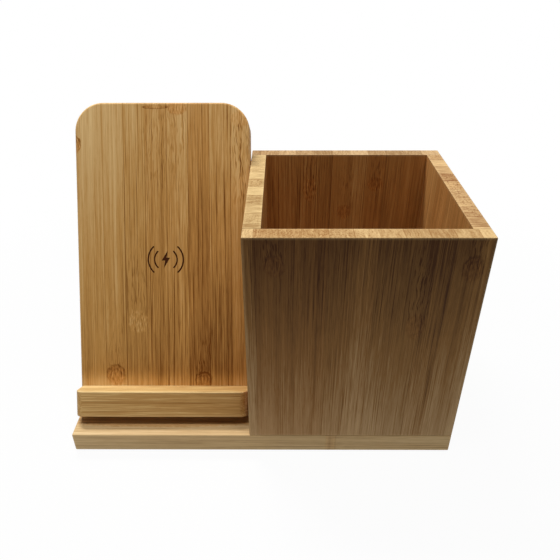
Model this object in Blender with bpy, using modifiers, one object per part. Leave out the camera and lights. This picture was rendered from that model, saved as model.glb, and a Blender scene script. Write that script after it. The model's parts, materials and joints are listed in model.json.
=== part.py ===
"""Bamboo desk stand: a leaning wireless charging board beside a square pen box, on one long base.

Lengths are in metres. +X runs to the right, +Y to the back and +Z up. The origin is on the desk,
under the middle of the whole stand. The charging board has a frame of its own, set on the line where
its front face meets the base: X across the board, Y into its thickness and Z up its slope.
"""
import math

import bmesh
import bpy
from mathutils import Vector

# Base plate and pen box; the base is as long as the board and the box beside it
BASE_DEPTH = 0.0905
BASE_THICKNESS = 0.0096
BOX_WIDTH = 0.0903
BOX_HEIGHT = 0.100
WALL_THICKNESS = 0.0068
EDGE_SOFTENING = 0.0008

# Leaning board and its ledge
BOARD_TILT = math.radians(28.3)
BOARD_WIDTH = 0.0795
BOARD_THICKNESS = 0.011
BOARD_RISE = 0.142
BOARD_SETBACK = 0.0154
BOARD_FOOT_DEPTH = 0.0007
BOARD_CORNER_RADIUS = 0.013
LEDGE_END_INSET = 0.00075
LEDGE_HEIGHT = 0.0115
LEDGE_DEPTH = 0.0109
LEDGE_CORNER_RADIUS = 0.0038

# Clearances: along a glue line, round a part in its hole, and past a surface that a cutter leaves
GLUE_GAP = 0.0002
FIT_GAP = 0.0003
CUT_OVERRUN = 0.002
MERGE_DISTANCE = 0.000001

# Charging symbol, engraved in front of the coil: a bolt between two pairs of arcs
MARK_SHIFT = 0.0007
MARK_DEPTH = 0.0004
MARK_LINE = 0.0007
MARK_ARC_RADII = (0.0053, 0.0084)
MARK_ARC_HALF_SPREAD = math.radians(46)
BOLT_WIDTH = 0.0039
BOLT_HEIGHT = 0.0082
BOLT_SHARES = ((0.24, 0.5), (-0.5, -0.06), (-0.08, -0.06), (-0.24, -0.5), (0.5, 0.1), (0.1, 0.1))

# Pockets in the back of the board, and the plate that closes them; the coil's pocket is round and
# runs into the circuit's, at a height given as a share of its radius below its middle
CIRCUIT_POCKET_FLOOR = 0.0185
CIRCUIT_SKIN = 0.0027
COIL_SKIN = 0.0024
POCKET_JOIN_SHARE = 0.717
POCKET_CORNER_RADIUS = 0.003
COVER_THICKNESS = 0.002
COVER_SIDE_MARGIN = 0.00575
COVER_LAND = 0.006
COVER_TOP_MARGIN = 0.004
COVER_BOTTOM_MARGIN = 0.003
COVER_CORNER_RADIUS = 0.005
COVER_EDGE_SOFTENING = 0.0003
COVER_SCREW_INSET = 0.003
COVER_SCREW_END_INSET = 0.0055

# Transmitter coil and its backing
WIRE_RADIUS = 0.000375
COIL_INNER_RADIUS = 0.0102
COIL_OUTER_RADIUS = 0.0234
COIL_EDGE_CLEARANCE = 0.0028
COIL_START_ANGLE = math.radians(210)
COIL_SPACING = 0.00046
COIL_POINTS_PER_TURN = 24
COIL_LEAD_RISE = 0.00125
COIL_LEAD_RISE_SHARE = 0.08
ADHESIVE_CLEARANCE = 0.0027
ADHESIVE_THICKNESS = 0.0002
FERRITE_CLEARANCE = 0.0017
FERRITE_THICKNESS = 0.0008
FERRITE_SLOT_WIDTH = 0.003

# Circuit board and what stands on it
CIRCUIT_HEIGHT = 0.0235
CIRCUIT_THICKNESS = 0.001
CIRCUIT_TOP_CLEARANCE = 0.0019
CIRCUIT_SIDE_CLEARANCE = 0.003
CIRCUIT_BOTTOM_CLEARANCE = 0.0012
FOAM_PAD_SIDE_MARGIN = 0.007
FOAM_PAD_HEIGHT = 0.014
FOAM_PAD_THICKNESS = 0.0003
SOLDER_GAP = 0.0001
CHIP_SIDE = 0.006
CHIP_HEIGHT = 0.0009
TRANSISTOR_WIDTH = 0.005
TRANSISTOR_LENGTH = 0.006
TRANSISTOR_HEIGHT = 0.0011
CERAMIC_WIDTH = 0.0025
CERAMIC_LENGTH = 0.0032
CERAMIC_HEIGHT = 0.002
CERAMIC_SPACING = 0.0045
CERAMIC_COUNT = 3
INDUCTOR_SIDE = 0.006
INDUCTOR_HEADROOM = 0.0017
INDUCTOR_CORNER_RADIUS = 0.0012
CAPACITOR_RADIUS = 0.0025
CAPACITOR_HEADROOM = 0.0005
CAPACITOR_SHOULDER = 0.0004
LEAD_PAD_INSET = 0.0018

# Places on the circuit board, as shares of its width and height from its middle
CHIP_PLACE_SHARES = (-0.27, -0.1)
LEFT_TRANSISTOR_PLACE_SHARES = (-0.32, 0.24)
RIGHT_TRANSISTOR_PLACE_SHARES = (-0.1, 0.27)
CERAMIC_PLACE_SHARES = (0.1, 0.28)
INDUCTOR_PLACE_SHARES = (0.22, -0.14)
CAPACITOR_PLACE_SHARES = (0.38, -0.14)
INLET_PLACE_SHARES = (0, -0.2)

# Power inlet
INLET_WIDTH = 0.0089
INLET_HEIGHT = 0.0032
INLET_WALL = 0.0003
TONGUE_WIDTH = 0.0067
TONGUE_THICKNESS = 0.0007
TONGUE_RECESS = 0.0006
TONGUE_ROOT = 0.0018

# Dowels, screws and feet
DOWEL_RADIUS = 0.002
DOWEL_CHAMFER = 0.0004
BOX_DOWEL_LENGTH = 0.0145
BOX_DOWEL_SEAT = 0.0064
BOX_DOWEL_INSET = 0.020
LEDGE_DOWEL_LENGTH = 0.0142
LEDGE_DOWEL_SEAT = 0.0073
LEDGE_DOWEL_INSET = 0.011
BOARD_SCREW_RADIUS = 0.0015
BOARD_SCREW_GRIP_SHARE = 0.65
BOARD_SCREW_SEAT = 0.0027
BOARD_SCREW_HEAD_RADIUS = 0.0028
BOARD_SCREW_HEAD_HEIGHT = 0.0019
BOARD_SCREW_INSET = 0.02275
COVER_SCREW_RADIUS = 0.0009
COVER_SCREW_LENGTH = 0.006
COVER_SCREW_HEAD_RADIUS = 0.0018
COVER_SCREW_HEAD_HEIGHT = 0.0009
SCREW_TIP_SHARE = 0.25
RECESS_WIDTH_SHARE = 0.28
RECESS_SPAN_SHARE = 1.15
RECESS_DEPTH_SHARE = 0.55
FOOT_RADIUS = 0.005
FOOT_SEAT_DEPTH = 0.0008
FOOT_STAND = 0.001
FOOT_ROUNDING = 0.0003
FOOT_INSET = 0.012

# Facets
CORNER_SEGMENTS = 8
SOFTENING_SEGMENTS = 2
ROUND_PROFILE = 0.5
POCKET_SIDES = 48
ROUND_STEPS = 16
FOOT_STEPS = 32
ARC_POINTS = 12
SOFTENED_ANGLE = math.radians(35)
SMOOTH_ANGLE = math.radians(40)
ALIGNED_SHARE = 0.99

# Worked out: the outline
BASE_LENGTH = BOARD_WIDTH + GLUE_GAP + BOX_WIDTH
BOARD_REACH = (
    BOARD_SETBACK
    + (BOARD_RISE - EDGE_SOFTENING) * math.sin(BOARD_TILT)
    + (BOARD_THICKNESS - EDGE_SOFTENING) * math.cos(BOARD_TILT)
    + EDGE_SOFTENING
)
FRONT = -max(BASE_DEPTH, BOARD_REACH) / 2
REAR = FRONT + BASE_DEPTH
LEFT = -BASE_LENGTH / 2
RIGHT = BASE_LENGTH / 2
BASE_BOTTOM = FOOT_STAND
BASE_TOP = BASE_BOTTOM + BASE_THICKNESS
BOX_LEFT = RIGHT - BOX_WIDTH
BOX_BOTTOM = BASE_TOP + GLUE_GAP
BOX_TOP = BASE_TOP + BOX_HEIGHT
LEDGE_LENGTH = BOARD_WIDTH - 2 * LEDGE_END_INSET

# Worked out: the pockets and their cover, in the board's frame
POCKET_CEILING = BOARD_THICKNESS - COVER_THICKNESS
COVER_WIDTH = BOARD_WIDTH - 2 * COVER_SIDE_MARGIN
CIRCUIT_POCKET_WIDTH = COVER_WIDTH - 2 * COVER_LAND
COIL_POCKET_RADIUS = COIL_OUTER_RADIUS + COIL_EDGE_CLEARANCE
CIRCUIT_BOTTOM = CIRCUIT_POCKET_FLOOR + CIRCUIT_BOTTOM_CLEARANCE
CIRCUIT_TOP = CIRCUIT_BOTTOM + CIRCUIT_HEIGHT
MARK_HEIGHT = CIRCUIT_TOP + CIRCUIT_TOP_CLEARANCE + COIL_POCKET_RADIUS
CIRCUIT_POCKET_TOP = MARK_HEIGHT - COIL_POCKET_RADIUS * POCKET_JOIN_SHARE
COVER_BOTTOM = CIRCUIT_POCKET_FLOOR - COVER_BOTTOM_MARGIN
COVER_TOP = MARK_HEIGHT + COIL_POCKET_RADIUS + COVER_TOP_MARGIN

# Worked out: what the pockets hold, in the board's frame
CIRCUIT_WIDTH = CIRCUIT_POCKET_WIDTH - 2 * CIRCUIT_SIDE_CLEARANCE
FOAM_PAD_WIDTH = CIRCUIT_WIDTH - 2 * FOAM_PAD_SIDE_MARGIN
PAD_FRONT = CIRCUIT_SKIN + GLUE_GAP
CIRCUIT_FRONT = PAD_FRONT + FOAM_PAD_THICKNESS + GLUE_GAP
CIRCUIT_BACK = CIRCUIT_FRONT + CIRCUIT_THICKNESS
PART_SEAT = CIRCUIT_BACK + SOLDER_GAP
INDUCTOR_HEIGHT = POCKET_CEILING - PART_SEAT - INDUCTOR_HEADROOM
CAPACITOR_HEIGHT = POCKET_CEILING - PART_SEAT - CAPACITOR_HEADROOM
ADHESIVE_RADIUS = COIL_POCKET_RADIUS - ADHESIVE_CLEARANCE
FERRITE_RADIUS = COIL_POCKET_RADIUS - FERRITE_CLEARANCE
ADHESIVE_FRONT = COIL_SKIN + GLUE_GAP
COIL_MIDDLE = ADHESIVE_FRONT + ADHESIVE_THICKNESS + GLUE_GAP + WIRE_RADIUS
FERRITE_FRONT = COIL_MIDDLE + WIRE_RADIUS + FIT_GAP

DOWN = Vector((0, 0, -1))
UP = Vector((0, 0, 1))
FORWARD = Vector((0, -1, 0))
BACKWARD = Vector((0, 1, 0))
LEFTWARD = Vector((-1, 0, 0))
RIGHTWARD = Vector((1, 0, 0))

# Finishes: colour, roughness and metallic value
BAMBOO = ((0.72, 0.50, 0.26), 0.5, 0)
DARK_BAMBOO = ((0.42, 0.28, 0.14), 0.55, 0)
PALE_BAMBOO = ((0.82, 0.64, 0.38), 0.5, 0)
BEECH = ((0.80, 0.62, 0.42), 0.6, 0)
STEEL = ((0.60, 0.60, 0.60), 0.3, 1)
BLACK_RUBBER = ((0.03, 0.03, 0.03), 0.8, 0)
ENAMELLED_COPPER = ((0.72, 0.32, 0.12), 0.3, 1)
WHITE_FILM = ((0.85, 0.85, 0.82), 0.7, 0)
FERRITE_GREY = ((0.08, 0.08, 0.09), 0.6, 0)
GREEN_BOARD = ((0.02, 0.22, 0.09), 0.4, 0)
BLACK_RESIN = ((0.02, 0.02, 0.02), 0.5, 0)
CERAMIC_TAN = ((0.55, 0.42, 0.28), 0.5, 0)
ALUMINIUM = ((0.75, 0.75, 0.77), 0.35, 1)


def clear_objects():
    """Empty the scene of its objects."""
    for item in list(bpy.data.objects):
        bpy.data.objects.remove(item, do_unlink=True)


def new_collection(name):
    """A collection of the scene."""
    collection = bpy.data.collections.new(name)
    bpy.context.scene.collection.children.link(collection)
    return collection


clear_objects()
PARTS = new_collection("wireless_charger_pen_holder")
CUTTERS = new_collection("cutters")


def dress(item, finish):
    """Give a piece a material of its own."""
    colour, roughness, metallic = finish
    material = bpy.data.materials.new(item.name + "_finish")
    material.use_nodes = True
    shader = material.node_tree.nodes["Principled BSDF"]
    shader.inputs["Base Color"].default_value = (*colour, 1)
    shader.inputs["Roughness"].default_value = roughness
    shader.inputs["Metallic"].default_value = metallic
    item.data.materials.clear()
    item.data.materials.append(material)


def add_piece(name, mesh, finish=None, parent=None):
    """Place a mesh in the scene: a piece where it has a finish, and otherwise a cutter."""
    item = bpy.data.objects.new(name, mesh)
    item.parent = parent
    if finish:
        PARTS.objects.link(item)
        dress(item, finish)
    else:
        CUTTERS.objects.link(item)
        item.hide_render = True
        item.display_type = "WIRE"
    return item


def write_shape(shape, mesh):
    """Put an edited shape back into its mesh."""
    shape.to_mesh(mesh)
    shape.free()
    mesh.update()


def make_block(name, low, high, finish=None, parent=None):
    """A box between its lowest and highest corners, with its origin in its middle."""
    low = Vector(low)
    high = Vector(high)
    shape = bmesh.new()
    bmesh.ops.create_cube(shape, size=1)
    bmesh.ops.scale(shape, verts=shape.verts, vec=high - low)
    mesh = bpy.data.meshes.new(name)
    write_shape(shape, mesh)
    block = add_piece(name, mesh, finish, parent)
    block.location = (low + high) / 2
    return block


def round_corners(block, along, radius, side=None):
    """Round the edges of a box that run one way, on one side of it or all round."""
    shape = bmesh.new()
    shape.from_mesh(block.data)
    chosen = []
    for edge in shape.edges:
        start, end = (vertex.co for vertex in edge.verts)
        runs_along = abs((end - start).normalized().dot(along)) > ALIGNED_SHARE
        if runs_along and (side is None or (start + end).dot(side) > 0):
            chosen.append(edge)
    bmesh.ops.bevel(
        shape, geom=chosen, offset=radius, segments=CORNER_SEGMENTS, profile=ROUND_PROFILE, affect="EDGES"
    )
    write_shape(shape, block.data)


def soften_edges(block, width, glued=()):
    """Sand a piece's sharp edges round, except those of its glued faces."""
    shape = bmesh.new()
    shape.from_mesh(block.data)
    chosen = []
    for edge in shape.edges:
        is_glued = any(
            face.normal.dot(direction) > ALIGNED_SHARE for face in edge.link_faces for direction in glued
        )
        if edge.calc_face_angle() > SOFTENED_ANGLE and not is_glued:
            chosen.append(edge)
    bmesh.ops.bevel(
        shape, geom=chosen, offset=width, segments=SOFTENING_SEGMENTS, profile=ROUND_PROFILE, affect="EDGES"
    )
    write_shape(shape, block.data)


def shade_round(item):
    """Shade a round piece smooth, with its sharp edges kept."""
    item.data.shade_smooth()
    item.data.set_sharp_from_angle(angle=SMOOTH_ANGLE)


def make_turned(name, profile, steps, finish=None, parent=None):
    """A turned solid, from a profile of radii and heights that runs from top to bottom."""
    outline = bpy.data.meshes.new(name + "_outline")
    points = [(radius, 0, height) for radius, height in profile]
    lines = [(index, index + 1) for index in range(len(points) - 1)]
    outline.from_pydata(points, lines, [])
    guide = add_piece(name + "_outline", outline)
    sweep = guide.modifiers.new("sweep", "SCREW")
    sweep.axis = "Z"
    sweep.steps = steps
    sweep.render_steps = steps
    sweep.use_merge_vertices = True
    sweep.merge_threshold = MERGE_DISTANCE
    mesh = finished_mesh(guide)
    mesh.name = name
    turned = add_piece(name, mesh, finish, parent)
    shade_round(turned)
    return turned


def make_rod(name, radius, length, sides, finish=None, parent=None):
    """A round rod along Z that starts at its origin and runs up."""
    return make_turned(name, [(0, length), (radius, length), (radius, 0), (0, 0)], sides, finish, parent)


def finished_mesh(item):
    """A mesh of a piece with its modifiers worked in; the piece itself is removed."""
    bpy.context.view_layer.update()
    depsgraph = bpy.context.evaluated_depsgraph_get()
    mesh = bpy.data.meshes.new_from_object(item.evaluated_get(depsgraph))
    bpy.data.objects.remove(item, do_unlink=True)
    return mesh


def make_flat_shape(name, outline, thickness, parent=None):
    """A cutter with a flat outline in X and Z, centred on Y."""
    curve = bpy.data.curves.new(name, "CURVE")
    curve.dimensions = "2D"
    curve.fill_mode = "BOTH"
    curve.extrude = thickness / 2
    spline = curve.splines.new("POLY")
    spline.points.add(len(outline) - 1)
    for point, (across, up) in zip(spline.points, outline):
        point.co = (across, up, 0, 1)
    spline.use_cyclic_u = True
    guide = add_piece(name + "_outline", curve)
    mesh = finished_mesh(guide)
    weld(mesh)
    mesh.name = name
    shape = add_piece(name, mesh, None, parent)
    shape.rotation_euler.x = math.pi / 2
    return shape


def weld(mesh):
    """Merge the doubled points of a curve's caps, and turn its faces outwards."""
    shape = bmesh.new()
    shape.from_mesh(mesh)
    bmesh.ops.remove_doubles(shape, verts=shape.verts, dist=MERGE_DISTANCE)
    bmesh.ops.recalc_face_normals(shape, faces=shape.faces)
    write_shape(shape, mesh)


def make_wire(name, points, radius, finish, parent):
    """A round wire along a list of points."""
    curve = bpy.data.curves.new(name, "CURVE")
    curve.dimensions = "3D"
    curve.bevel_depth = radius
    curve.bevel_resolution = 1
    curve.use_fill_caps = True
    spline = curve.splines.new("POLY")
    spline.points.add(len(points) - 1)
    for point, place in zip(spline.points, points):
        point.co = (*place, 1)
    mesh = finished_mesh(add_piece(name + "_route", curve))
    weld(mesh)
    mesh.name = name
    wire = add_piece(name, mesh, finish, parent)
    shade_round(wire)
    return wire


def combine(target, tool, operation):
    """Cut one shape out of another, or join it on."""
    boolean = target.modifiers.new(tool.name, "BOOLEAN")
    boolean.operation = operation
    boolean.object = tool
    boolean.solver = "EXACT"


def cut(target, cutter):
    """Cut a cutter's shape out of a piece."""
    combine(target, cutter, "DIFFERENCE")


def make_tilt_frame():
    """The board's own frame: an empty on the line where its front face meets the base."""
    frame = bpy.data.objects.new("charging_board_frame", None)
    PARTS.objects.link(frame)
    frame.location = (LEFT + BOARD_WIDTH / 2, FRONT + BOARD_SETBACK, BASE_TOP)
    frame.rotation_euler.x = -BOARD_TILT
    return frame


def make_base_plate(frame):
    """The long base, with a slanted groove for the board's foot."""
    base = make_block("base_plate", (LEFT, FRONT, BASE_BOTTOM), (RIGHT, REAR, BASE_TOP), PALE_BAMBOO)
    soften_edges(base, EDGE_SOFTENING)
    groove = make_block(
        "board_groove",
        (-BOARD_WIDTH / 2 - CUT_OVERRUN, -GLUE_GAP, -BOARD_FOOT_DEPTH - GLUE_GAP),
        (BOARD_WIDTH / 2 + GLUE_GAP, BOARD_THICKNESS + GLUE_GAP, BOARD_THICKNESS + CUT_OVERRUN),
        parent=frame,
    )
    cut(base, groove)
    return base


def make_box():
    """The four walls of the pen box: full-width front and back, with the sides set between them."""
    front_inner = FRONT + WALL_THICKNESS
    rear_inner = REAR - WALL_THICKNESS
    places = {
        "box_front_panel": ((BOX_LEFT, FRONT), (RIGHT, front_inner), (DOWN, BACKWARD)),
        "box_back_panel": ((BOX_LEFT, rear_inner), (RIGHT, REAR), (DOWN, FORWARD)),
        "box_left_panel": (
            (BOX_LEFT, front_inner + GLUE_GAP),
            (BOX_LEFT + WALL_THICKNESS, rear_inner - GLUE_GAP),
            (DOWN, FORWARD, BACKWARD, RIGHTWARD),
        ),
        "box_right_panel": (
            (RIGHT - WALL_THICKNESS, front_inner + GLUE_GAP),
            (RIGHT, rear_inner - GLUE_GAP),
            (DOWN, FORWARD, BACKWARD, LEFTWARD),
        ),
    }
    panels = {}
    for name, (low, high, glued) in places.items():
        panel = make_block(name, (*low, BOX_BOTTOM), (*high, BOX_TOP), DARK_BAMBOO)
        soften_edges(panel, EDGE_SOFTENING, glued)
        panels[name] = panel
    return panels


def make_charging_board(frame):
    """The leaning board, with rounded top corners."""
    board = make_block(
        "charging_board",
        (-BOARD_WIDTH / 2, 0, -BOARD_FOOT_DEPTH),
        (BOARD_WIDTH / 2, BOARD_THICKNESS, BOARD_RISE),
        BAMBOO,
        frame,
    )
    round_corners(board, BACKWARD, BOARD_CORNER_RADIUS, UP)
    soften_edges(board, EDGE_SOFTENING, (DOWN,))
    return board


def make_phone_ledge(frame):
    """The bar that the phone stands on, square to the board's face."""
    ledge = make_block(
        "phone_ledge",
        (-LEDGE_LENGTH / 2, -LEDGE_DEPTH - GLUE_GAP, GLUE_GAP),
        (LEDGE_LENGTH / 2, -GLUE_GAP, LEDGE_HEIGHT + GLUE_GAP),
        PALE_BAMBOO,
        frame,
    )
    round_corners(ledge, UP, LEDGE_CORNER_RADIUS, FORWARD)
    soften_edges(ledge, EDGE_SOFTENING, (BACKWARD,))
    return ledge


def arc_outline(radius, direction):
    """The outline of one arc of the symbol, opening to one side."""
    inner = radius - MARK_LINE / 2
    outer = radius + MARK_LINE / 2
    angles = [
        (2 * index / (ARC_POINTS - 1) - 1) * MARK_ARC_HALF_SPREAD for index in range(ARC_POINTS)
    ]
    out = [(direction * outer * math.cos(angle), outer * math.sin(angle)) for angle in angles]
    back = [(direction * inner * math.cos(angle), inner * math.sin(angle)) for angle in reversed(angles)]
    return out + back


def engrave_symbol(board, frame):
    """Engrave the charging symbol in the board's front: a bolt, and two arcs on each side of it."""
    outlines = {"bolt": [(across * BOLT_WIDTH, up * BOLT_HEIGHT) for across, up in BOLT_SHARES]}
    for order, radius in enumerate(MARK_ARC_RADII):
        outlines[f"left_arc_{order}"] = arc_outline(radius, -1)
        outlines[f"right_arc_{order}"] = arc_outline(radius, 1)
    for name, outline in outlines.items():
        engraver = make_flat_shape("symbol_" + name, outline, 2 * MARK_DEPTH, frame)
        engraver.location = (MARK_SHIFT, 0, MARK_HEIGHT)
        cut(board, engraver)


def mill_pockets(board, frame):
    """Mill the board from behind: the cover's seat, the coil's round pocket and the circuit's pocket."""
    past_back = BOARD_THICKNESS + CUT_OVERRUN
    seat = make_block(
        "cover_seat",
        (-COVER_WIDTH / 2 - GLUE_GAP, POCKET_CEILING - GLUE_GAP, COVER_BOTTOM - GLUE_GAP),
        (COVER_WIDTH / 2 + GLUE_GAP, past_back, COVER_TOP + GLUE_GAP),
        parent=frame,
    )
    round_corners(seat, BACKWARD, COVER_CORNER_RADIUS + GLUE_GAP)
    cut(board, seat)
    circuit_pocket = make_block(
        "circuit_pocket",
        (-CIRCUIT_POCKET_WIDTH / 2, CIRCUIT_SKIN, CIRCUIT_POCKET_FLOOR),
        (CIRCUIT_POCKET_WIDTH / 2, past_back, CIRCUIT_POCKET_TOP),
        parent=frame,
    )
    round_corners(circuit_pocket, BACKWARD, POCKET_CORNER_RADIUS)
    cut(board, circuit_pocket)
    coil_pocket = make_rod("coil_pocket", COIL_POCKET_RADIUS, past_back - COIL_SKIN, POCKET_SIDES, parent=frame)
    coil_pocket.location = (0, COIL_SKIN, MARK_HEIGHT)
    coil_pocket.rotation_euler.x = -math.pi / 2
    cut(board, coil_pocket)


def make_back_cover(frame):
    """The plate that closes the pockets, flush with the board's back."""
    cover = make_block(
        "back_cover",
        (-COVER_WIDTH / 2, POCKET_CEILING, COVER_BOTTOM),
        (COVER_WIDTH / 2, BOARD_THICKNESS, COVER_TOP),
        BAMBOO,
        frame,
    )
    round_corners(cover, BACKWARD, COVER_CORNER_RADIUS)
    soften_edges(cover, COVER_EDGE_SOFTENING, (FORWARD,))
    return cover


def screw_profile(radius, length, head_radius, head_height, is_countersunk, gap=0):
    """The profile of a screw, or of its hole with a gap: head up, with its seat at zero height."""
    head_top = head_height
    shank = radius + gap
    tip = -length - gap
    if is_countersunk:
        head = [(0, 0), (head_radius + gap, 0), (shank, -head_height)]
    else:
        head = [(0, head_top), (head_radius - radius / 2, head_top), (head_radius, head_top / 2), (head_radius, 0)]
        head = head + [(shank, 0)]
    return head + [(shank, tip + radius), (shank * SCREW_TIP_SHARE, tip), (0, tip)]


def make_screw_mesh(name, radius, length, head_radius, head_height, is_countersunk):
    """A screw with a cross recess in its head, made once for all its copies."""
    profile = screw_profile(radius, length, head_radius, head_height, is_countersunk)
    top = profile[0][1]
    screw = make_turned(name, profile, ROUND_STEPS)
    half_span = radius * RECESS_SPAN_SHARE
    half_width = radius * RECESS_WIDTH_SHARE
    depth = head_radius * RECESS_DEPTH_SHARE
    bars = []
    for across, along in ((half_span, half_width), (half_width, half_span)):
        bar = make_block(name + "_recess", (-across, -along, top - depth), (across, along, top + depth))
        cut(screw, bar)
        bars.append(bar)
    mesh = finished_mesh(screw)
    mesh.name = name
    for bar in bars:
        bpy.data.objects.remove(bar, do_unlink=True)
    return mesh


def add_board_screws(base, board, frame):
    """Two screws along the board's slope, up through the base into its foot, with sunk heads."""
    seat = -BOARD_FOOT_DEPTH - GLUE_GAP - BOARD_SCREW_SEAT
    grip = (BOARD_FOOT_DEPTH + CIRCUIT_POCKET_FLOOR) * BOARD_SCREW_GRIP_SHARE
    length = BOARD_SCREW_SEAT + grip
    sizes = (BOARD_SCREW_RADIUS, length, BOARD_SCREW_HEAD_RADIUS, BOARD_SCREW_HEAD_HEIGHT, False)
    mesh = make_screw_mesh("board_screw", *sizes)
    for side, direction in (("left", -1), ("right", 1)):
        place = (direction * (BOARD_WIDTH / 2 - BOARD_SCREW_INSET), BOARD_THICKNESS / 2, seat)
        screw = add_piece("board_screw_" + side, mesh.copy(), STEEL, frame)
        screw.rotation_euler.x = math.pi
        screw.location = place
        hole_radius = BOARD_SCREW_RADIUS + FIT_GAP
        hole = make_rod("board_screw_hole_" + side, hole_radius, length + 2 * FIT_GAP, ROUND_STEPS, parent=frame)
        hole.location = (place[0], place[1], seat - FIT_GAP)
        cut(base, hole)
        cut(board, hole)
        bore_radius = BOARD_SCREW_HEAD_RADIUS + FIT_GAP
        bore = make_rod("board_screw_bore_" + side, bore_radius, BASE_THICKNESS, ROUND_STEPS, parent=frame)
        bore.location = (place[0], place[1], seat + GLUE_GAP)
        bore.rotation_euler.x = math.pi
        cut(base, bore)


def add_cover_screws(board, cover, frame):
    """Four countersunk screws at the cover's corners."""
    sizes = (COVER_SCREW_RADIUS, COVER_SCREW_LENGTH, COVER_SCREW_HEAD_RADIUS, COVER_SCREW_HEAD_HEIGHT, True)
    mesh = make_screw_mesh("cover_screw", *sizes)
    across = COVER_WIDTH / 2 - COVER_SCREW_INSET
    low = COVER_BOTTOM + COVER_SCREW_END_INSET
    high = COVER_TOP - COVER_SCREW_END_INSET
    corners = ((-across, low), (across, low), (-across, high), (across, high))
    for number, (x, z) in enumerate(corners, start=1):
        screw = add_piece(f"cover_screw_{number}", mesh.copy(), STEEL, frame)
        hole_profile = screw_profile(*sizes, gap=GLUE_GAP)
        mouth_radius = hole_profile[1][0]
        hole_profile = [(0, CUT_OVERRUN), (mouth_radius, CUT_OVERRUN)] + hole_profile[1:]
        hole = make_turned(f"cover_screw_hole_{number}", hole_profile, ROUND_STEPS, parent=frame)
        for item in (screw, hole):
            item.location = (x, BOARD_THICKNESS, z)
            item.rotation_euler.x = -math.pi / 2
        cut(cover, hole)
        cut(board, hole)


def make_dowel(name, length, place, direction, first, second, parent=None):
    """A chamfered wood dowel from its lower end, along one direction, with its holes in two pieces."""
    turn = UP.rotation_difference(direction).to_euler()
    narrow = DOWEL_RADIUS - DOWEL_CHAMFER
    profile = [
        (0, length),
        (narrow, length),
        (DOWEL_RADIUS, length - DOWEL_CHAMFER),
        (DOWEL_RADIUS, DOWEL_CHAMFER),
        (narrow, 0),
        (0, 0),
    ]
    dowel = make_turned(name, profile, ROUND_STEPS, BEECH, parent)
    hole_length = length + 2 * FIT_GAP
    hole = make_rod(name + "_hole", DOWEL_RADIUS + GLUE_GAP, hole_length, ROUND_STEPS, parent=parent)
    dowel.location = place
    hole.location = Vector(place) - direction * FIT_GAP
    for item in (dowel, hole):
        item.rotation_euler = turn
    cut(first, hole)
    cut(second, hole)


def add_box_dowels(base, panels):
    """Four dowels from the base up into the front and back walls."""
    middle = WALL_THICKNESS / 2
    for side, y in (("front", FRONT + middle), ("back", REAR - middle)):
        for end, x in (("left", BOX_LEFT + BOX_DOWEL_INSET), ("right", RIGHT - BOX_DOWEL_INSET)):
            place = (x, y, BASE_TOP - BOX_DOWEL_SEAT)
            panel = panels[f"box_{side}_panel"]
            make_dowel(f"box_dowel_{side}_{end}", BOX_DOWEL_LENGTH, place, UP, base, panel)


def add_ledge_dowels(board, ledge, frame):
    """Two dowels through the joint between the ledge and the board."""
    for side, direction in (("left", -1), ("right", 1)):
        across = direction * (LEDGE_LENGTH / 2 - LEDGE_DOWEL_INSET)
        place = (across, -LEDGE_DOWEL_SEAT, GLUE_GAP + LEDGE_HEIGHT / 2)
        make_dowel("ledge_dowel_" + side, LEDGE_DOWEL_LENGTH, place, BACKWARD, board, ledge, frame)


def add_feet(base):
    """Four rubber feet, glued into shallow seats under the base."""
    height = FOOT_SEAT_DEPTH + FOOT_STAND
    profile = [
        (0, height),
        (FOOT_RADIUS, height),
        (FOOT_RADIUS, FOOT_ROUNDING),
        (FOOT_RADIUS - FOOT_ROUNDING, 0),
        (0, 0),
    ]
    places = [
        (x, y) for x in (LEFT + FOOT_INSET, RIGHT - FOOT_INSET) for y in (FRONT + FOOT_INSET, REAR - FOOT_INSET)
    ]
    for number, (x, y) in enumerate(places, start=1):
        foot = make_turned(f"rubber_foot_{number}", profile, FOOT_STEPS, BLACK_RUBBER)
        foot.location = (x, y, 0)
        seat = make_rod(f"foot_seat_{number}", FOOT_RADIUS + GLUE_GAP, height + GLUE_GAP, FOOT_STEPS)
        seat.location = (x, y, 0)
        cut(base, seat)


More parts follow.
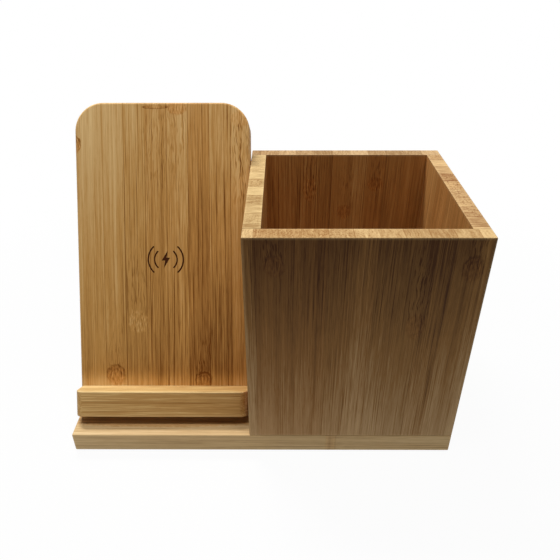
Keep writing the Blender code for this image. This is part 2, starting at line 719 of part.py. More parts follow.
def coil_route():
    """The wire's route: up from the circuit, round in a tightening spiral and back down behind it."""
    pitch = 2 * WIRE_RADIUS + COIL_SPACING
    last_part = COIL_START_ANGLE / (2 * math.pi)
    room = COIL_OUTER_RADIUS - WIRE_RADIUS - COIL_INNER_RADIUS
    turns = math.floor(room / pitch - last_part) + last_part
    outer = COIL_INNER_RADIUS + turns * pitch
    pad_height = CIRCUIT_TOP - LEAD_PAD_INSET - MARK_HEIGHT
    pad_depth = PART_SEAT + WIRE_RADIUS
    ramp_end = CIRCUIT_TOP + WIRE_RADIUS + FIT_GAP - MARK_HEIGHT
    run = math.sqrt(max(0, (FERRITE_RADIUS + 2 * WIRE_RADIUS) ** 2 - outer**2))
    lead_across = outer * math.cos(COIL_START_ANGLE) - run * math.sin(COIL_START_ANGLE)
    ramp_start = outer * math.sin(COIL_START_ANGLE) + run * math.cos(COIL_START_ANGLE)
    route = [
        (lead_across, pad_depth, pad_height),
        (lead_across, pad_depth, ramp_end),
        (lead_across, COIL_MIDDLE, ramp_start),
    ]
    for index in range(round(turns * COIL_POINTS_PER_TURN) + 1):
        turned = index / COIL_POINTS_PER_TURN
        angle = COIL_START_ANGLE - 2 * math.pi * turned
        radius = outer - pitch * turned
        climb_share = max(0, 1 - (turns - turned) / COIL_LEAD_RISE_SHARE)
        depth = COIL_MIDDLE + COIL_LEAD_RISE * climb_share
        route.append((radius * math.cos(angle), depth, radius * math.sin(angle)))
    inner = COIL_INNER_RADIUS
    route.append((inner, COIL_MIDDLE + COIL_LEAD_RISE, ramp_start))
    route.append((inner, pad_depth, ramp_end))
    route.append((inner, pad_depth, pad_height))
    return [Vector(point) for point in route]


def least_gap(route, radius):
    """The least gap between stretches of a wire that don't follow each other, measured on points."""
    fine = []
    for start, end in zip(route, route[1:]):
        parts = max(1, round((end - start).length / radius))
        fine.extend(start.lerp(end, index / parts) for index in range(parts))
    skip = round(math.pi * COIL_INNER_RADIUS / radius)
    gaps = [
        (fine[first] - fine[second]).length - 2 * radius
        for first in range(len(fine))
        for second in range(first + skip, len(fine))
    ]
    return min(gaps)


def add_coil(frame):
    """The transmitter coil, on its adhesive disc, under its ferrite."""
    route = coil_route()
    coil = make_wire("transmitter_coil", route, WIRE_RADIUS, ENAMELLED_COPPER, frame)
    coil.location.z = MARK_HEIGHT
    print("least gap of the coil to itself, in metres:", least_gap(route, WIRE_RADIUS))
    disc = make_rod("adhesive_disc", ADHESIVE_RADIUS, ADHESIVE_THICKNESS, POCKET_SIDES, WHITE_FILM, frame)
    disc.location = (0, ADHESIVE_FRONT, MARK_HEIGHT)
    disc.rotation_euler.x = -math.pi / 2
    ferrite = make_rod("ferrite_sheet", FERRITE_RADIUS, FERRITE_THICKNESS, POCKET_SIDES, FERRITE_GREY, frame)
    ferrite.location = (0, FERRITE_FRONT, MARK_HEIGHT)
    ferrite.rotation_euler.x = -math.pi / 2
    slot = make_block(
        "ferrite_slot",
        (
            COIL_INNER_RADIUS - FERRITE_SLOT_WIDTH / 2,
            FERRITE_FRONT - CUT_OVERRUN,
            MARK_HEIGHT - FERRITE_RADIUS - CUT_OVERRUN,
        ),
        (
            COIL_INNER_RADIUS + FERRITE_SLOT_WIDTH / 2,
            FERRITE_FRONT + FERRITE_THICKNESS + CUT_OVERRUN,
            MARK_HEIGHT + COIL_INNER_RADIUS,
        ),
        parent=frame,
    )
    cut(ferrite, slot)


def circuit_place(shares):
    """A place on the circuit board's back, from its shares of the board's width and height."""
    across, up = shares
    return across * CIRCUIT_WIDTH, (CIRCUIT_BOTTOM + CIRCUIT_TOP) / 2 + up * CIRCUIT_HEIGHT


def mount_block(name, shares, width, length, height, finish, frame, shift=0):
    """A square component, standing on the circuit board's back."""
    x, z = circuit_place(shares)
    x = x + shift
    low = (x - width / 2, PART_SEAT, z - length / 2)
    high = (x + width / 2, PART_SEAT + height, z + length / 2)
    return make_block(name, low, high, finish, frame)


def add_circuit(frame):
    """The circuit board on its foam pad, and the components on its back."""
    middle = (CIRCUIT_BOTTOM + CIRCUIT_TOP) / 2
    make_block(
        "foam_pad",
        (-FOAM_PAD_WIDTH / 2, PAD_FRONT, middle - FOAM_PAD_HEIGHT / 2),
        (FOAM_PAD_WIDTH / 2, PAD_FRONT + FOAM_PAD_THICKNESS, middle + FOAM_PAD_HEIGHT / 2),
        WHITE_FILM,
        frame,
    )
    make_block(
        "circuit_board",
        (-CIRCUIT_WIDTH / 2, CIRCUIT_FRONT, CIRCUIT_BOTTOM),
        (CIRCUIT_WIDTH / 2, CIRCUIT_BACK, CIRCUIT_TOP),
        GREEN_BOARD,
        frame,
    )
    mount_block("controller_chip", CHIP_PLACE_SHARES, CHIP_SIDE, CHIP_SIDE, CHIP_HEIGHT, BLACK_RESIN, frame)
    transistors = {"left": LEFT_TRANSISTOR_PLACE_SHARES, "right": RIGHT_TRANSISTOR_PLACE_SHARES}
    for side, shares in transistors.items():
        sizes = (TRANSISTOR_WIDTH, TRANSISTOR_LENGTH, TRANSISTOR_HEIGHT)
        mount_block("power_transistor_" + side, shares, *sizes, BLACK_RESIN, frame)
    for number in range(CERAMIC_COUNT):
        sizes = (CERAMIC_WIDTH, CERAMIC_LENGTH, CERAMIC_HEIGHT)
        shift = number * CERAMIC_SPACING
        name = f"resonance_capacitor_{number + 1}"
        mount_block(name, CERAMIC_PLACE_SHARES, *sizes, CERAMIC_TAN, frame, shift)
    sizes = (INDUCTOR_SIDE, INDUCTOR_SIDE, INDUCTOR_HEIGHT)
    inductor = mount_block("power_inductor", INDUCTOR_PLACE_SHARES, *sizes, BLACK_RESIN, frame)
    round_corners(inductor, BACKWARD, INDUCTOR_CORNER_RADIUS)
    add_input_capacitor(frame)


def add_input_capacitor(frame):
    """The round can beside the inductor."""
    x, z = circuit_place(CAPACITOR_PLACE_SHARES)
    profile = [
        (0, CAPACITOR_HEIGHT),
        (CAPACITOR_RADIUS - CAPACITOR_SHOULDER, CAPACITOR_HEIGHT),
        (CAPACITOR_RADIUS, CAPACITOR_HEIGHT - CAPACITOR_SHOULDER),
        (CAPACITOR_RADIUS, 0),
        (0, 0),
    ]
    capacitor = make_turned("input_capacitor", profile, ROUND_STEPS, ALUMINIUM, frame)
    capacitor.location = (x, PART_SEAT, z)
    capacitor.rotation_euler.x = -math.pi / 2


def inlet_block(name, width, height, front, back, finish, frame):
    """A block with round ends, centred on the inlet and set through the board's thickness."""
    x, z = circuit_place(INLET_PLACE_SHARES)
    block = make_block(
        name, (x - width / 2, front, z - height / 2), (x + width / 2, back, z + height / 2), finish, frame
    )
    round_corners(block, BACKWARD, min(width, height) / 2 - MERGE_DISTANCE)
    return block


def add_inlet(cover, frame):
    """The power inlet, standing on the circuit board with its mouth in the cover."""
    shell = inlet_block("usb_shell", INLET_WIDTH, INLET_HEIGHT, PART_SEAT, BOARD_THICKNESS, STEEL, frame)
    inner_width = INLET_WIDTH - 2 * INLET_WALL
    inner_height = INLET_HEIGHT - 2 * INLET_WALL
    bore_front = PART_SEAT - CUT_OVERRUN
    bore_back = BOARD_THICKNESS + CUT_OVERRUN
    bore = inlet_block("usb_bore", inner_width, inner_height, bore_front, bore_back, None, frame)
    cut(shell, bore)
    window = inlet_block(
        "inlet_window",
        INLET_WIDTH + 2 * FIT_GAP,
        INLET_HEIGHT + 2 * FIT_GAP,
        POCKET_CEILING - CUT_OVERRUN,
        bore_back,
        None,
        frame,
    )
    cut(cover, window)
    root = inlet_block(
        "usb_tongue",
        inner_width - 2 * GLUE_GAP,
        inner_height - 2 * GLUE_GAP,
        PART_SEAT,
        PART_SEAT + TONGUE_ROOT,
        BLACK_RESIN,
        frame,
    )
    x, z = circuit_place(INLET_PLACE_SHARES)
    tongue = make_block(
        "tongue_blade",
        (x - TONGUE_WIDTH / 2, PART_SEAT + TONGUE_ROOT / 2, z - TONGUE_THICKNESS / 2),
        (x + TONGUE_WIDTH / 2, BOARD_THICKNESS - TONGUE_RECESS, z + TONGUE_THICKNESS / 2),
        parent=frame,
    )
    combine(root, tongue, "UNION")


def build():
    """Make every piece."""
    frame = make_tilt_frame()
    base = make_base_plate(frame)
    panels = make_box()
    board = make_charging_board(frame)
    ledge = make_phone_ledge(frame)
    engrave_symbol(board, frame)
    mill_pockets(board, frame)
    cover = make_back_cover(frame)
    add_board_screws(base, board, frame)
    add_cover_screws(board, cover, frame)
    add_box_dowels(base, panels)
    add_ledge_dowels(board, ledge, frame)
    add_feet(base)
    add_coil(frame)
    add_circuit(frame)
    add_inlet(cover, frame)
    bpy.context.view_layer.update()


build()
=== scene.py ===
"""Dressed scene of a bamboo desk stand: a leaning charging board and a pen box on one long base.

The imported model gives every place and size, in metres. The wooden pieces are modelled anew with
finer edges and stand for their solids. The hardware keeps its solids and gets better finishes.
"""
import json
import logging
import math
from collections.abc import Callable, Iterator, Sequence
from contextlib import contextmanager
from dataclasses import dataclass, field, replace
from enum import Enum
from typing import Any

import bmesh
import bpy
import numpy as np
from mathutils import Color, Matrix, Vector

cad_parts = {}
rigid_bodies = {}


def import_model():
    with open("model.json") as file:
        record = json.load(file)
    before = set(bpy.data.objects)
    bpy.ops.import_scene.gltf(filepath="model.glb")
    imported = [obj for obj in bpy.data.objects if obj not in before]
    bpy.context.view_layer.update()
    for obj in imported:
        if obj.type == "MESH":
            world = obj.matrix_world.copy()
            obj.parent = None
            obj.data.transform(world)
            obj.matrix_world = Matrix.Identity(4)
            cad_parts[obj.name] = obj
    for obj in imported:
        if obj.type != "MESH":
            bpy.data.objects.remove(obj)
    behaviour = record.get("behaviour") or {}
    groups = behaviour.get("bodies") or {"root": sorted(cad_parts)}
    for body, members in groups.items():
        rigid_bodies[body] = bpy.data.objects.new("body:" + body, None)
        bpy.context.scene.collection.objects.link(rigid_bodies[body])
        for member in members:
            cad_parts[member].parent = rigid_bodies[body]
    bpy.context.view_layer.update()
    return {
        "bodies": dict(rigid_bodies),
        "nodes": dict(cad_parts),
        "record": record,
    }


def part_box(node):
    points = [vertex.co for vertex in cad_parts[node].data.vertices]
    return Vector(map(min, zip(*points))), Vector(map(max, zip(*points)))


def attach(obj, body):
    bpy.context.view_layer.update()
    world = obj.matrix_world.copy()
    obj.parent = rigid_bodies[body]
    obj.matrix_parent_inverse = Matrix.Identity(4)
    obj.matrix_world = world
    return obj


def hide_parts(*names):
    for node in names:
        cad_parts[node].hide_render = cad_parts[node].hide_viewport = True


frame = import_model()
LOG = logging.getLogger("bamboo_stand")

Colour = tuple[float, float, float]
Range = tuple[float, float]
Screen = tuple[int, int, int]
Settings = dict[str, Any]
Inputs = dict[int | str, Any]
Socket = bpy.types.NodeSocket
Node = bpy.types.Node
Material = bpy.types.Material
Piece = bpy.types.Object
Edge = bmesh.types.BMEdge

WHITE: Colour = (1.0, 1.0, 1.0)
RIGHT = Vector((1, 0, 0))
BACK = Vector((0, 1, 0))
UP = Vector((0, 0, 1))
# The least cosine between directions that count as one, and the turn of a sharp edge
ALIGNED = 0.99
SHARP = math.radians(35)
# The room round a piece in its hole or seat, and the shank of the screws that hold the board
SLACK = 0.0002
BOARD_SCREW_SHANK = 0.0018
# How far apart a mesh's doubled points may be
DOUBLES = 0.000001
# The middle of a noise, and of the tones from the darkest to the palest
MIDDLE = 0.5


def paint(colour: Screen) -> Colour:
    """Turn a screen colour, each part from 0 to 255, into linear light."""
    return tuple((Color(colour) / 255).from_srgb_to_scene_linear())


def operator(operation: str, turned: bool = False) -> Callable[..., "Value"]:
    """Make an operator on values.

    Args:
        operation: The operation of the Math node that it adds.
        turned: Whether the other number comes first.

    Returns:
        The operator.
    """

    def add_node(value: "Value", *others: "Number") -> "Value":
        """Add the node."""
        return value.graph.math(operation, *((*others, value) if turned else (value, *others)))

    return add_node


@dataclass(frozen=True)
class Value:
    """A number in a shader. Python's operators on it add Math nodes to its graph."""

    graph: "Graph"
    socket: Socket

    __add__ = __radd__ = operator("ADD")
    __sub__ = operator("SUBTRACT")
    __rsub__ = operator("SUBTRACT", turned=True)
    __mul__ = __rmul__ = operator("MULTIPLY")
    __truediv__ = operator("DIVIDE")
    __pow__ = operator("POWER")
    __abs__ = operator("ABSOLUTE")
    floor = operator("FLOOR")
    least = operator("MINIMUM")
    most = operator("MAXIMUM")

    def held(self) -> "Value":
        """The value kept from 0 to 1."""
        return self.graph.math("ADD", self, 0, held=True)

    def swing(self) -> "Value":
        """How far a noise is above its middle."""
        return self - MIDDLE

    def nearest(self) -> "Value":
        """The nearest whole number."""
        return (self + 0.5).floor()

    def between(self, low: float, high: float) -> "Value":
        """What runs from low to high as the value runs from 0 to 1."""
        return low + self * (high - low)

    def rise(self, low: float, high: float) -> "Value":
        """Smooth step.

        Args:
            low: Where it leaves 0.
            high: Where it reaches 1.

        Returns:
            A value from 0 to 1.
        """
        settings = {"interpolation_type": "SMOOTHSTEP"}
        node = self.graph.node("ShaderNodeMapRange", settings, {0: self, 1: low, 2: high})
        return Value(self.graph, node.outputs[0])

    def fall(self, low: float, high: float) -> "Value":
        """Smooth step down, from 1 at low to 0 at high."""
        return 1 - self.rise(low, high)


Number = Value | float


@dataclass(eq=False)
class Graph:
    """The nodes of a new material or world."""

    owner: Material | bpy.types.World

    def __post_init__(self) -> None:
        """Start the nodes."""
        self.owner.use_nodes = True
        self.tree = self.owner.node_tree

    def feed(self, socket: Socket, value: Any) -> None:
        """Set a socket or link it.

        Args:
            socket: The input socket.
            value: A number, colour or vector to set, or a value or socket to link.
        """
        if isinstance(value, Value):
            self.tree.links.new(value.socket, socket)
        elif isinstance(value, Socket):
            self.tree.links.new(value, socket)
        elif socket.type == "RGBA" and len(value) == 3:
            socket.default_value = (*value, 1)
        else:
            socket.default_value = value

    def shader(self) -> Node:
        """The material's main shader."""
        return self.tree.nodes["Principled BSDF"]

    def dress(self, inputs: Inputs) -> Material:
        """Finish the material.

        Args:
            inputs: Values or links for the main shader's sockets, by name.

        Returns:
            The material.
        """
        for name, value in inputs.items():
            self.feed(self.shader().inputs[name], value)
        return self.owner

    def node(self, kind: str, settings: Settings | None = None, inputs: Inputs | None = None) -> Node:
        """Add a node.

        Args:
            kind: The node's type.
            settings: Its settings, which are set first. A ramp's "stops" are places and colours.
            inputs: Values or links for its sockets, by number or name.

        Returns:
            The node.
        """
        node = self.tree.nodes.new(kind)
        for name, value in (settings or {}).items():
            if name == "stops":
                elements = node.color_ramp.elements
                for number, (place, colour) in enumerate(value):
                    stop = elements[number] if number < len(elements) else elements.new(place)
                    stop.position = place
                    stop.color = (*colour, 1)
            else:
                setattr(node, name, value)
        for key, value in (inputs or {}).items():
            self.feed(node.inputs[key], value)
        return node

    def here(self, kind: str = "Object") -> Socket:
        """The place of a point on the object, or its "Normal"."""
        return self.node("ShaderNodeTexCoord").outputs[kind]

    def math(self, operation: str, *terms: Number, held: bool = False) -> Value:
        """Work out one step on numbers. Where it is held, the result stays from 0 to 1."""
        settings = {"operation": operation, "use_clamp": held}
        return Value(self, self.node("ShaderNodeMath", settings, dict(enumerate(terms))).outputs[0])

    def measure(self, operation: str, *vectors: Any) -> Value:
        """Work out a number from vectors."""
        node = self.node("ShaderNodeVectorMath", {"operation": operation}, dict(enumerate(vectors)))
        return Value(self, node.outputs["Value"])

    def in_cells(self, sizes: Sequence[float], *values: Number) -> Socket:
        """A vector of three values, each counted in cells of its own size."""
        counts = enumerate(value / size for value, size in zip(values, sizes))
        return self.node("ShaderNodeCombineXYZ", None, dict(counts)).outputs[0]

    def noise(self, vector: Socket, detail: float = 2, scale: float = 1) -> Value:
        """Smooth noise round its middle, with finer layers of detail and so many cells to a unit."""
        inputs = {"Vector": vector, "Detail": detail, "Scale": scale}
        return Value(self, self.node("ShaderNodeTexNoise", None, inputs).outputs[0])

    def dots(self, vector: Socket) -> Value:
        """The distance to the nearest of many scattered points."""
        inputs = {"Vector": vector, "Scale": 1}
        return Value(self, self.node("ShaderNodeTexVoronoi", None, inputs).outputs[0])

    def chance(self, value: Value) -> Value:
        """A random number for each whole number."""
        node = self.node("ShaderNodeTexWhiteNoise", {"noise_dimensions": "1D"}, {"W": value})
        return Value(self, node.outputs["Value"])

    def ramp(self, value: Value, stops: Sequence[tuple[float, Colour]]) -> Socket:
        """Colours along a value."""
        return self.node("ShaderNodeValToRGB", {"stops": stops}, {0: value}).outputs[0]

    def mix(self, share: Number, first: Any, second: Any, blend: str = "MIX") -> Socket:
        """Blend two colours, each a colour or its socket, by the share of the second."""
        settings = {"data_type": "RGBA", "blend_type": blend}
        return self.node("ShaderNodeMix", settings, {0: share, 6: first, 7: second}).outputs[2]

    def relief(self, height: Value, depth: float, strength: float) -> Socket:
        """The normal of a relief, where a height of 1 is so many metres deep."""
        inputs = {"Height": height, "Distance": depth, "Strength": strength}
        return self.node("ShaderNodeBump", None, inputs).outputs[0]


@dataclass(frozen=True)
class Directions:
    """A piece's directions, across it, into its thickness and up it, and where they start."""

    across: Vector
    inward: Vector
    up: Vector
    origin: Vector = Vector()

    def matrix(self) -> Matrix:
        """Where a shape that is built level at the origin goes."""
        turn = Matrix((self.across, self.inward, self.up)).transposed()
        return Matrix.LocRotScale(self.origin, turn, None)

    def corners(self, node: str) -> tuple[Vector, Vector, Vector]:
        """Measure a node in these directions.

        Args:
            node: The node's name.

        Returns:
            Its lowest corner, its middle and its highest corner.
        """
        mesh = frame["nodes"][node].data
        places = np.empty(len(mesh.vertices) * 3)
        mesh.vertices.foreach_get("co", places)
        ways = np.array((self.across, self.inward, self.up))
        reaches = (places.reshape(-1, 3) - np.array(self.origin)) @ ways.T
        low, high = Vector(reaches.min(axis=0)), Vector(reaches.max(axis=0))
        return low, (low + high) / 2, high


def board_directions() -> Directions:
    """The leaning board's directions.

    Returns:
        Directions whose origin is on the base, at the foot of the board's front face.
    """
    mounts = {mount["name"]: mount for mount in frame["record"]["mounts"]}
    inward = -Vector(mounts["charging_face"]["axis"]).normalized()
    up = RIGHT.cross(inward).normalized()
    face = Vector(mounts["charging_face"]["pos_m"])
    base_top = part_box("base_plate")[1].z
    origin = face - up * ((face.z - base_top) / up.z)
    return Directions(RIGHT, inward, up, origin)


LEVEL = Directions(RIGHT, BACK, UP)
LEANING = board_directions()


def every(start: str) -> list[str]:
    """The nodes whose names start alike, in order."""
    return sorted(name for name in frame["nodes"] if name.startswith(start))


class Grain(Enum):
    """A way that fibres or strips run, in a piece's own directions."""

    ACROSS = 0
    INWARD = 1
    UP = 2


@dataclass(frozen=True)
class Stock:
    """A squared piece of bamboo, measured along its fibres, across its strips and through them."""

    ways: tuple[Vector, Vector, Vector]
    middle: Vector
    half: Vector

    @classmethod
    def of(cls, node: str, directions: Directions, fibres: Grain, side: Grain) -> "Stock":
        """Measure a node.

        Args:
            node: The node's name.
            directions: Its own directions.
            fibres: Which of them the fibres follow.
            side: Which of them the strips lie along, side by side.

        Returns:
            The stock.
        """
        through = next(grain for grain in Grain if grain not in (fibres, side))
        ways = (directions.across, directions.inward, directions.up)
        order = tuple(ways[grain.value] for grain in (fibres, side, through))
        low, middle, high = Directions(*order).corners(node)
        return cls(order, middle, (high - low) / 2)


@dataclass(frozen=True)
class Pattern:
    """Noise drawn out along the fibres.

    Its cells have a width and a length in metres, and finer layers of detail. It starts to show at
    the first number of its onset, and moves the tone, the roughness and the relief by the rest.
    """

    width: float
    length: float
    detail: float
    onset: Range = (0.0, 1.0)
    tone: float = 0.0
    roughness: float = 0.0
    relief: float = 0.0


BANDS = Pattern(0.0026, 0.12, 1, tone=0.6)
STREAKS = Pattern(0.00048, 0.048, 2, tone=0.8, roughness=0.16, relief=0.4)
THREADS = Pattern(0.00025, 0.013, 2, tone=0.8, relief=0.5)
LINES = Pattern(0.0005, 0.05, 0, (0.62, 0.74), tone=-0.32)
DASHES = Pattern(0.00042, 0.0052, 1, (0.53, 0.68), tone=-0.06, roughness=0.08, relief=-0.3)
# The cells of the other patterns in metres, with a depth of 1 where each layer is a pattern of its own
SWIRLS = (0.005, 0.009, 1)
RAYS = (0.0005, 0.0026, 1)
WAVERS = (0.0014, 0.0018, 1)
WANDERS = (0.004, 0.0022, 1)
RIPPLES = (0.00075, 0.006, 1)
BLOTCHES = (0.0011, 0.0016, 0.0011)
PORES = (0.0009, 0.0009, 0.02)
# The layer that a pattern is read on, or how far apart the layers of the strips are
SWIRL_LAYER, RAY_LAYER, WAVER_LAYER = 9, 5, 3
FIBRE_LAYERS, WANDER_LAYERS, RIPPLE_LAYERS = 57, 23, 41
# The ring, heart, tail and paleness of plain wood
NO_SPOT = (0.0, 0.0, 0.0, 0.0)
# What is added to a strip's number before its chances are drawn
GLUE_DRAW, WARMTH_DRAW, COARSE_DRAW = 5, 31, 745


@dataclass(frozen=True)
class NodeOrShadeMark:
    """A spot on one strip, mostly where the bamboo had a node, placed from the middle of the stock. A spot
    with only a paleness below 0 is painted shade.

    Its ring, the rays in its heart and the darker fibres of its tail are as strong as their numbers.
    The whole spot is lighter by pale, or darker where that is below 0. The tail reaches up by
    tail_run half heights, and a half height below 0 turns the spot upside down.
    """

    side: float
    along: float
    half_width: float = 0.0044
    half_height: float = 0.0042
    ring: float = 1.0
    heart: float = 1.0
    tail: float = 1.0
    pale: float = 0.0
    tail_run: float = 8.0

    # Places on the spot, counted in its half sizes from its middle
    OUTER_RING, OUTER_WIDTH = 0.85, 0.2
    INNER_RING, INNER_WIDTH, INNER_SHARE = 0.5, 0.16, 0.6
    RING_FOOT = (-1.1, 0.1)
    SIDES = (0.85, 1.05)
    HEART_RIM = (0.7, 1.05)
    TAIL_FOOT = (-0.2, 0.9)
    TAIL_SIDES = (0.4, 1.15)
    TAIL_FADE = 0.3

    def parts(self, along: Value, side: Value, waver: Value) -> tuple[Value, Value, Value, Value]:
        """Draw the spot.

        Args:
            along: The place along the fibres.
            side: The place across the strips.
            waver: What makes its lines uneven.

        Returns:
            Its ring, heart and tail and how much paler it is, 0 away from the spot.
        """
        across = (side - self.side) / self.half_width
        lift = (along - self.along) / self.half_height
        reach = (across * across + lift * lift) ** 0.5 + waver
        within = abs(across).fall(*self.SIDES)
        outer = abs(reach - self.OUTER_RING).fall(0.0, self.OUTER_WIDTH)
        inner = abs(reach - self.INNER_RING).fall(0.0, self.INNER_WIDTH)
        ring = (outer + inner * self.INNER_SHARE) * lift.rise(*self.RING_FOOT) * within
        heart = reach.fall(*self.HEART_RIM) * within
        fade = lift.fall(self.tail_run * self.TAIL_FADE, self.tail_run)
        tail = lift.rise(*self.TAIL_FOOT) * fade * abs(across).fall(*self.TAIL_SIDES)
        return ring * self.ring, heart * self.heart, tail * self.tail, heart * self.pale


@dataclass(frozen=True)
class Bamboo:
    """Laminated bamboo: strips with fibres and nodes, end grain, glue lines and sanded edges, and tone
    drifts and spots that some finishes use for painted shade and a painted glow.
    """

    name: str
    dark: Screen
    middle: Screen
    pale: Screen
    seed: float
    strip_width: float = 0.0086
    strip_shift: float = 0.0
    contrast: float = 0.4
    streaks: float = 1.0
    coarseness: Range = (0.62, 1.36)
    # Tone drifting across and along the piece, partly painted shade where a finish sets it
    side_drift_and_shade: float = 0.0
    length_drift_and_shade: float = 0.0
    # A painted glow, paler towards the lower end over this span
    painted_foot_glow: float = 0.0
    foot_glow_span: Range = (-0.0595, -0.0505)
    seams: float = 0.45
    seam_width: float = 0.0003
    seam_range: Range = (0.25, 1.0)
    marks: tuple[NodeOrShadeMark, ...] = ()
    waver: float = 0.5
    swirl: float = 0.0025
    ring_shade: float = 0.4
    ray_range: float = 1.5
    heart_shade: float = 0.06
    tail_dashes: float = 0.3
    warm: Colour = (1.0, 0.83, 0.66)
    warm_from: float = 0.3
    warm_share: float = 0.65
    warm_hearts: float = 0.7
    cool_pales: float = 4.0
    end_dark: Screen = (160, 118, 70)
    end_pale: Screen = (226, 192, 140)
    end_facing: Range = (0.6, 0.8)
    end_tone: float = 0.54
    end_contrast: float = 0.8
    end_ripples: float = 1.3
    ripple_bend: float = 0.00165
    end_pores: float = 0.75
    pore_rim: Range = (0.15, 0.5)
    end_seams: float = 0.8
    end_warm: Colour = (1.0, 0.85, 0.66)
    end_warm_from: float = 0.6
    end_warm_share: float = 0.8
    edge_reach: Range = (0.0002, 0.0013)
    wear: Range = (0.1, 0.32)
    gloss: float = 0.12
    roughness: float = 0.5
    end_roughness: float = 0.14
    edge_polish: float = 0.06
    sunk: float = 0.8
    relief_depth: float = 0.00012
    relief_strength: float = 0.35

    def material(self, stock: Stock) -> Material:
        """Make the material for a piece.

        Args:
            stock: The piece's directions and size.

        Returns:
            The material.
        """
        graph = Graph(bpy.data.materials.new(self.name))
        place = graph.here()
        reaches = zip(stock.ways, stock.middle)
        along, side, deep = (graph.measure("DOT_PRODUCT", place, way) - middle for way, middle in reaches)
        count = side / self.strip_width + self.strip_shift
        strip = count.floor() + self.seed
        tone = graph.chance(strip)
        warmth = graph.chance(strip + WARMTH_DRAW)
        coarse = graph.chance(strip + COARSE_DRAW).between(*self.coarseness) * self.streaks
        joint = count.nearest()
        seam = abs(count - joint).fall(0.0, self.seam_width / self.strip_width)
        glue = seam * graph.chance(joint + self.seed + GLUE_DRAW).between(*self.seam_range)

        waver = graph.noise(graph.in_cells(WAVERS, side, along, WAVER_LAYER)).swing() * self.waver
        spots = (mark.parts(along, side, waver) for mark in self.marks)
        rings, hearts, tails, pales = (sum(parts) for parts in zip(NO_SPOT, *spots))
        swirl = graph.noise(graph.in_cells(SWIRLS, side, along, SWIRL_LAYER), detail=1).swing()
        spread = side + swirl * (tails + hearts) * self.swirl

        def drawn(pattern: Pattern) -> Value:
            """Noise drawn out along the fibres, which starts anew on each strip."""
            layer = deep / pattern.width + tone * FIBRE_LAYERS
            spot = graph.in_cells((pattern.width, pattern.length, 1), spread, along, layer)
            return graph.noise(spot, pattern.detail)

        bands, streaks, threads = (drawn(pattern) for pattern in (BANDS, STREAKS, THREADS))
        lines, dashes = (drawn(pattern).rise(*pattern.onset) for pattern in (LINES, DASHES))
        rays = graph.noise(graph.in_cells(RAYS, side, along, RAY_LAYER))
        level = (
            MIDDLE
            + tone.swing() * self.contrast
            + bands.swing() * (BANDS.tone * self.streaks)
            + streaks.swing() * coarse * STREAKS.tone
            + threads.swing() * coarse * THREADS.tone
            # Tone drifting across and along the piece, partly painted shade where a finish sets it
            + side / stock.half[1] * self.side_drift_and_shade
            + along / stock.half[0] * self.length_drift_and_shade
            # Painted glow at the lower end, light cast up from the ledge's top
            + along.fall(*self.foot_glow_span) * self.painted_foot_glow
            + lines * coarse * LINES.tone
            + dashes * (DASHES.tone - tails * self.tail_dashes)
            - rings * self.ring_shade
            + hearts * (rays.swing() * self.ray_range - self.heart_shade)
            # Paleness of node hearts, and painted shade where a spot is only darker
            + pales
            - glue * self.seams
        )
        shades = ((0.0, paint(self.dark)), (MIDDLE, paint(self.middle)), (1.0, paint(self.pale)))
        warm = (warmth - self.warm_from).held() * self.warm_share + hearts * self.warm_hearts
        warm = (warm - pales * self.cool_pales).held()
        long_grain = graph.mix(warm, graph.ramp(level.held(), shades), self.warm, "MULTIPLY")

        pores = graph.dots(graph.in_cells(PORES, side, deep, along)).fall(*self.pore_rim)
        wander = graph.noise(graph.in_cells(WANDERS, side, deep, tone * WANDER_LAYERS), detail=1)
        bent = side + wander * self.ripple_bend
        ripple = graph.noise(graph.in_cells(RIPPLES, bent, deep, tone * RIPPLE_LAYERS), detail=1)
        end_level = (
            self.end_tone
            + tone.swing() * self.end_contrast
            + ripple.swing() * self.end_ripples
            - pores * (warmth * self.end_pores)
            - glue * self.end_seams
        )
        end_warm = ((warmth - self.end_warm_from) * self.end_warm_share).held()
        end = graph.mix(end_level.held(), paint(self.end_dark), paint(self.end_pale))
        end_grain = graph.mix(end_warm, end, self.end_warm, "MULTIPLY")

        facing = graph.measure("DOT_PRODUCT", graph.here("Normal"), stock.ways[0])
        facing = abs(facing).rise(*self.end_facing)
        edge = self.edge(along, side, deep, stock)
        blotches = graph.noise(graph.in_cells(BLOTCHES, side, along, deep))
        wear = edge * blotches.between(*self.wear)
        rough = (
            self.roughness
            + streaks.swing() * STREAKS.roughness
            + facing * self.end_roughness
            + dashes * DASHES.roughness
            - edge * self.edge_polish
        )
        height = (
            threads * THREADS.relief
            + streaks * STREAKS.relief
            - glue * self.sunk
            + dashes * DASHES.relief
            - pores * facing * self.sunk
        )
        return graph.dress({
            "Base Color": graph.mix(wear, graph.mix(facing, long_grain, end_grain), paint(self.end_pale)),
            "Roughness": rough.held(),
            "Specular IOR Level": self.gloss,
            "Normal": graph.relief(height, self.relief_depth, self.relief_strength),
        })

    def edge(self, along: Value, side: Value, deep: Value, stock: Stock) -> Value:
        """Find the sanded edges.

        Args:
            along: The place along the fibres.
            side: The place across the strips.
            deep: The place through the strips.
            stock: The piece's size.

        Returns:
            1 along the edges and 0 away from them.
        """
        insets = [half - abs(value) for half, value in zip(stock.half, (along, side, deep))]
        nearest = insets[0].least(insets[1]).least(insets[2])
        farthest = insets[0].most(insets[1]).most(insets[2])
        second = insets[0] + insets[1] + insets[2] - nearest - farthest
        return second.fall(*self.edge_reach)


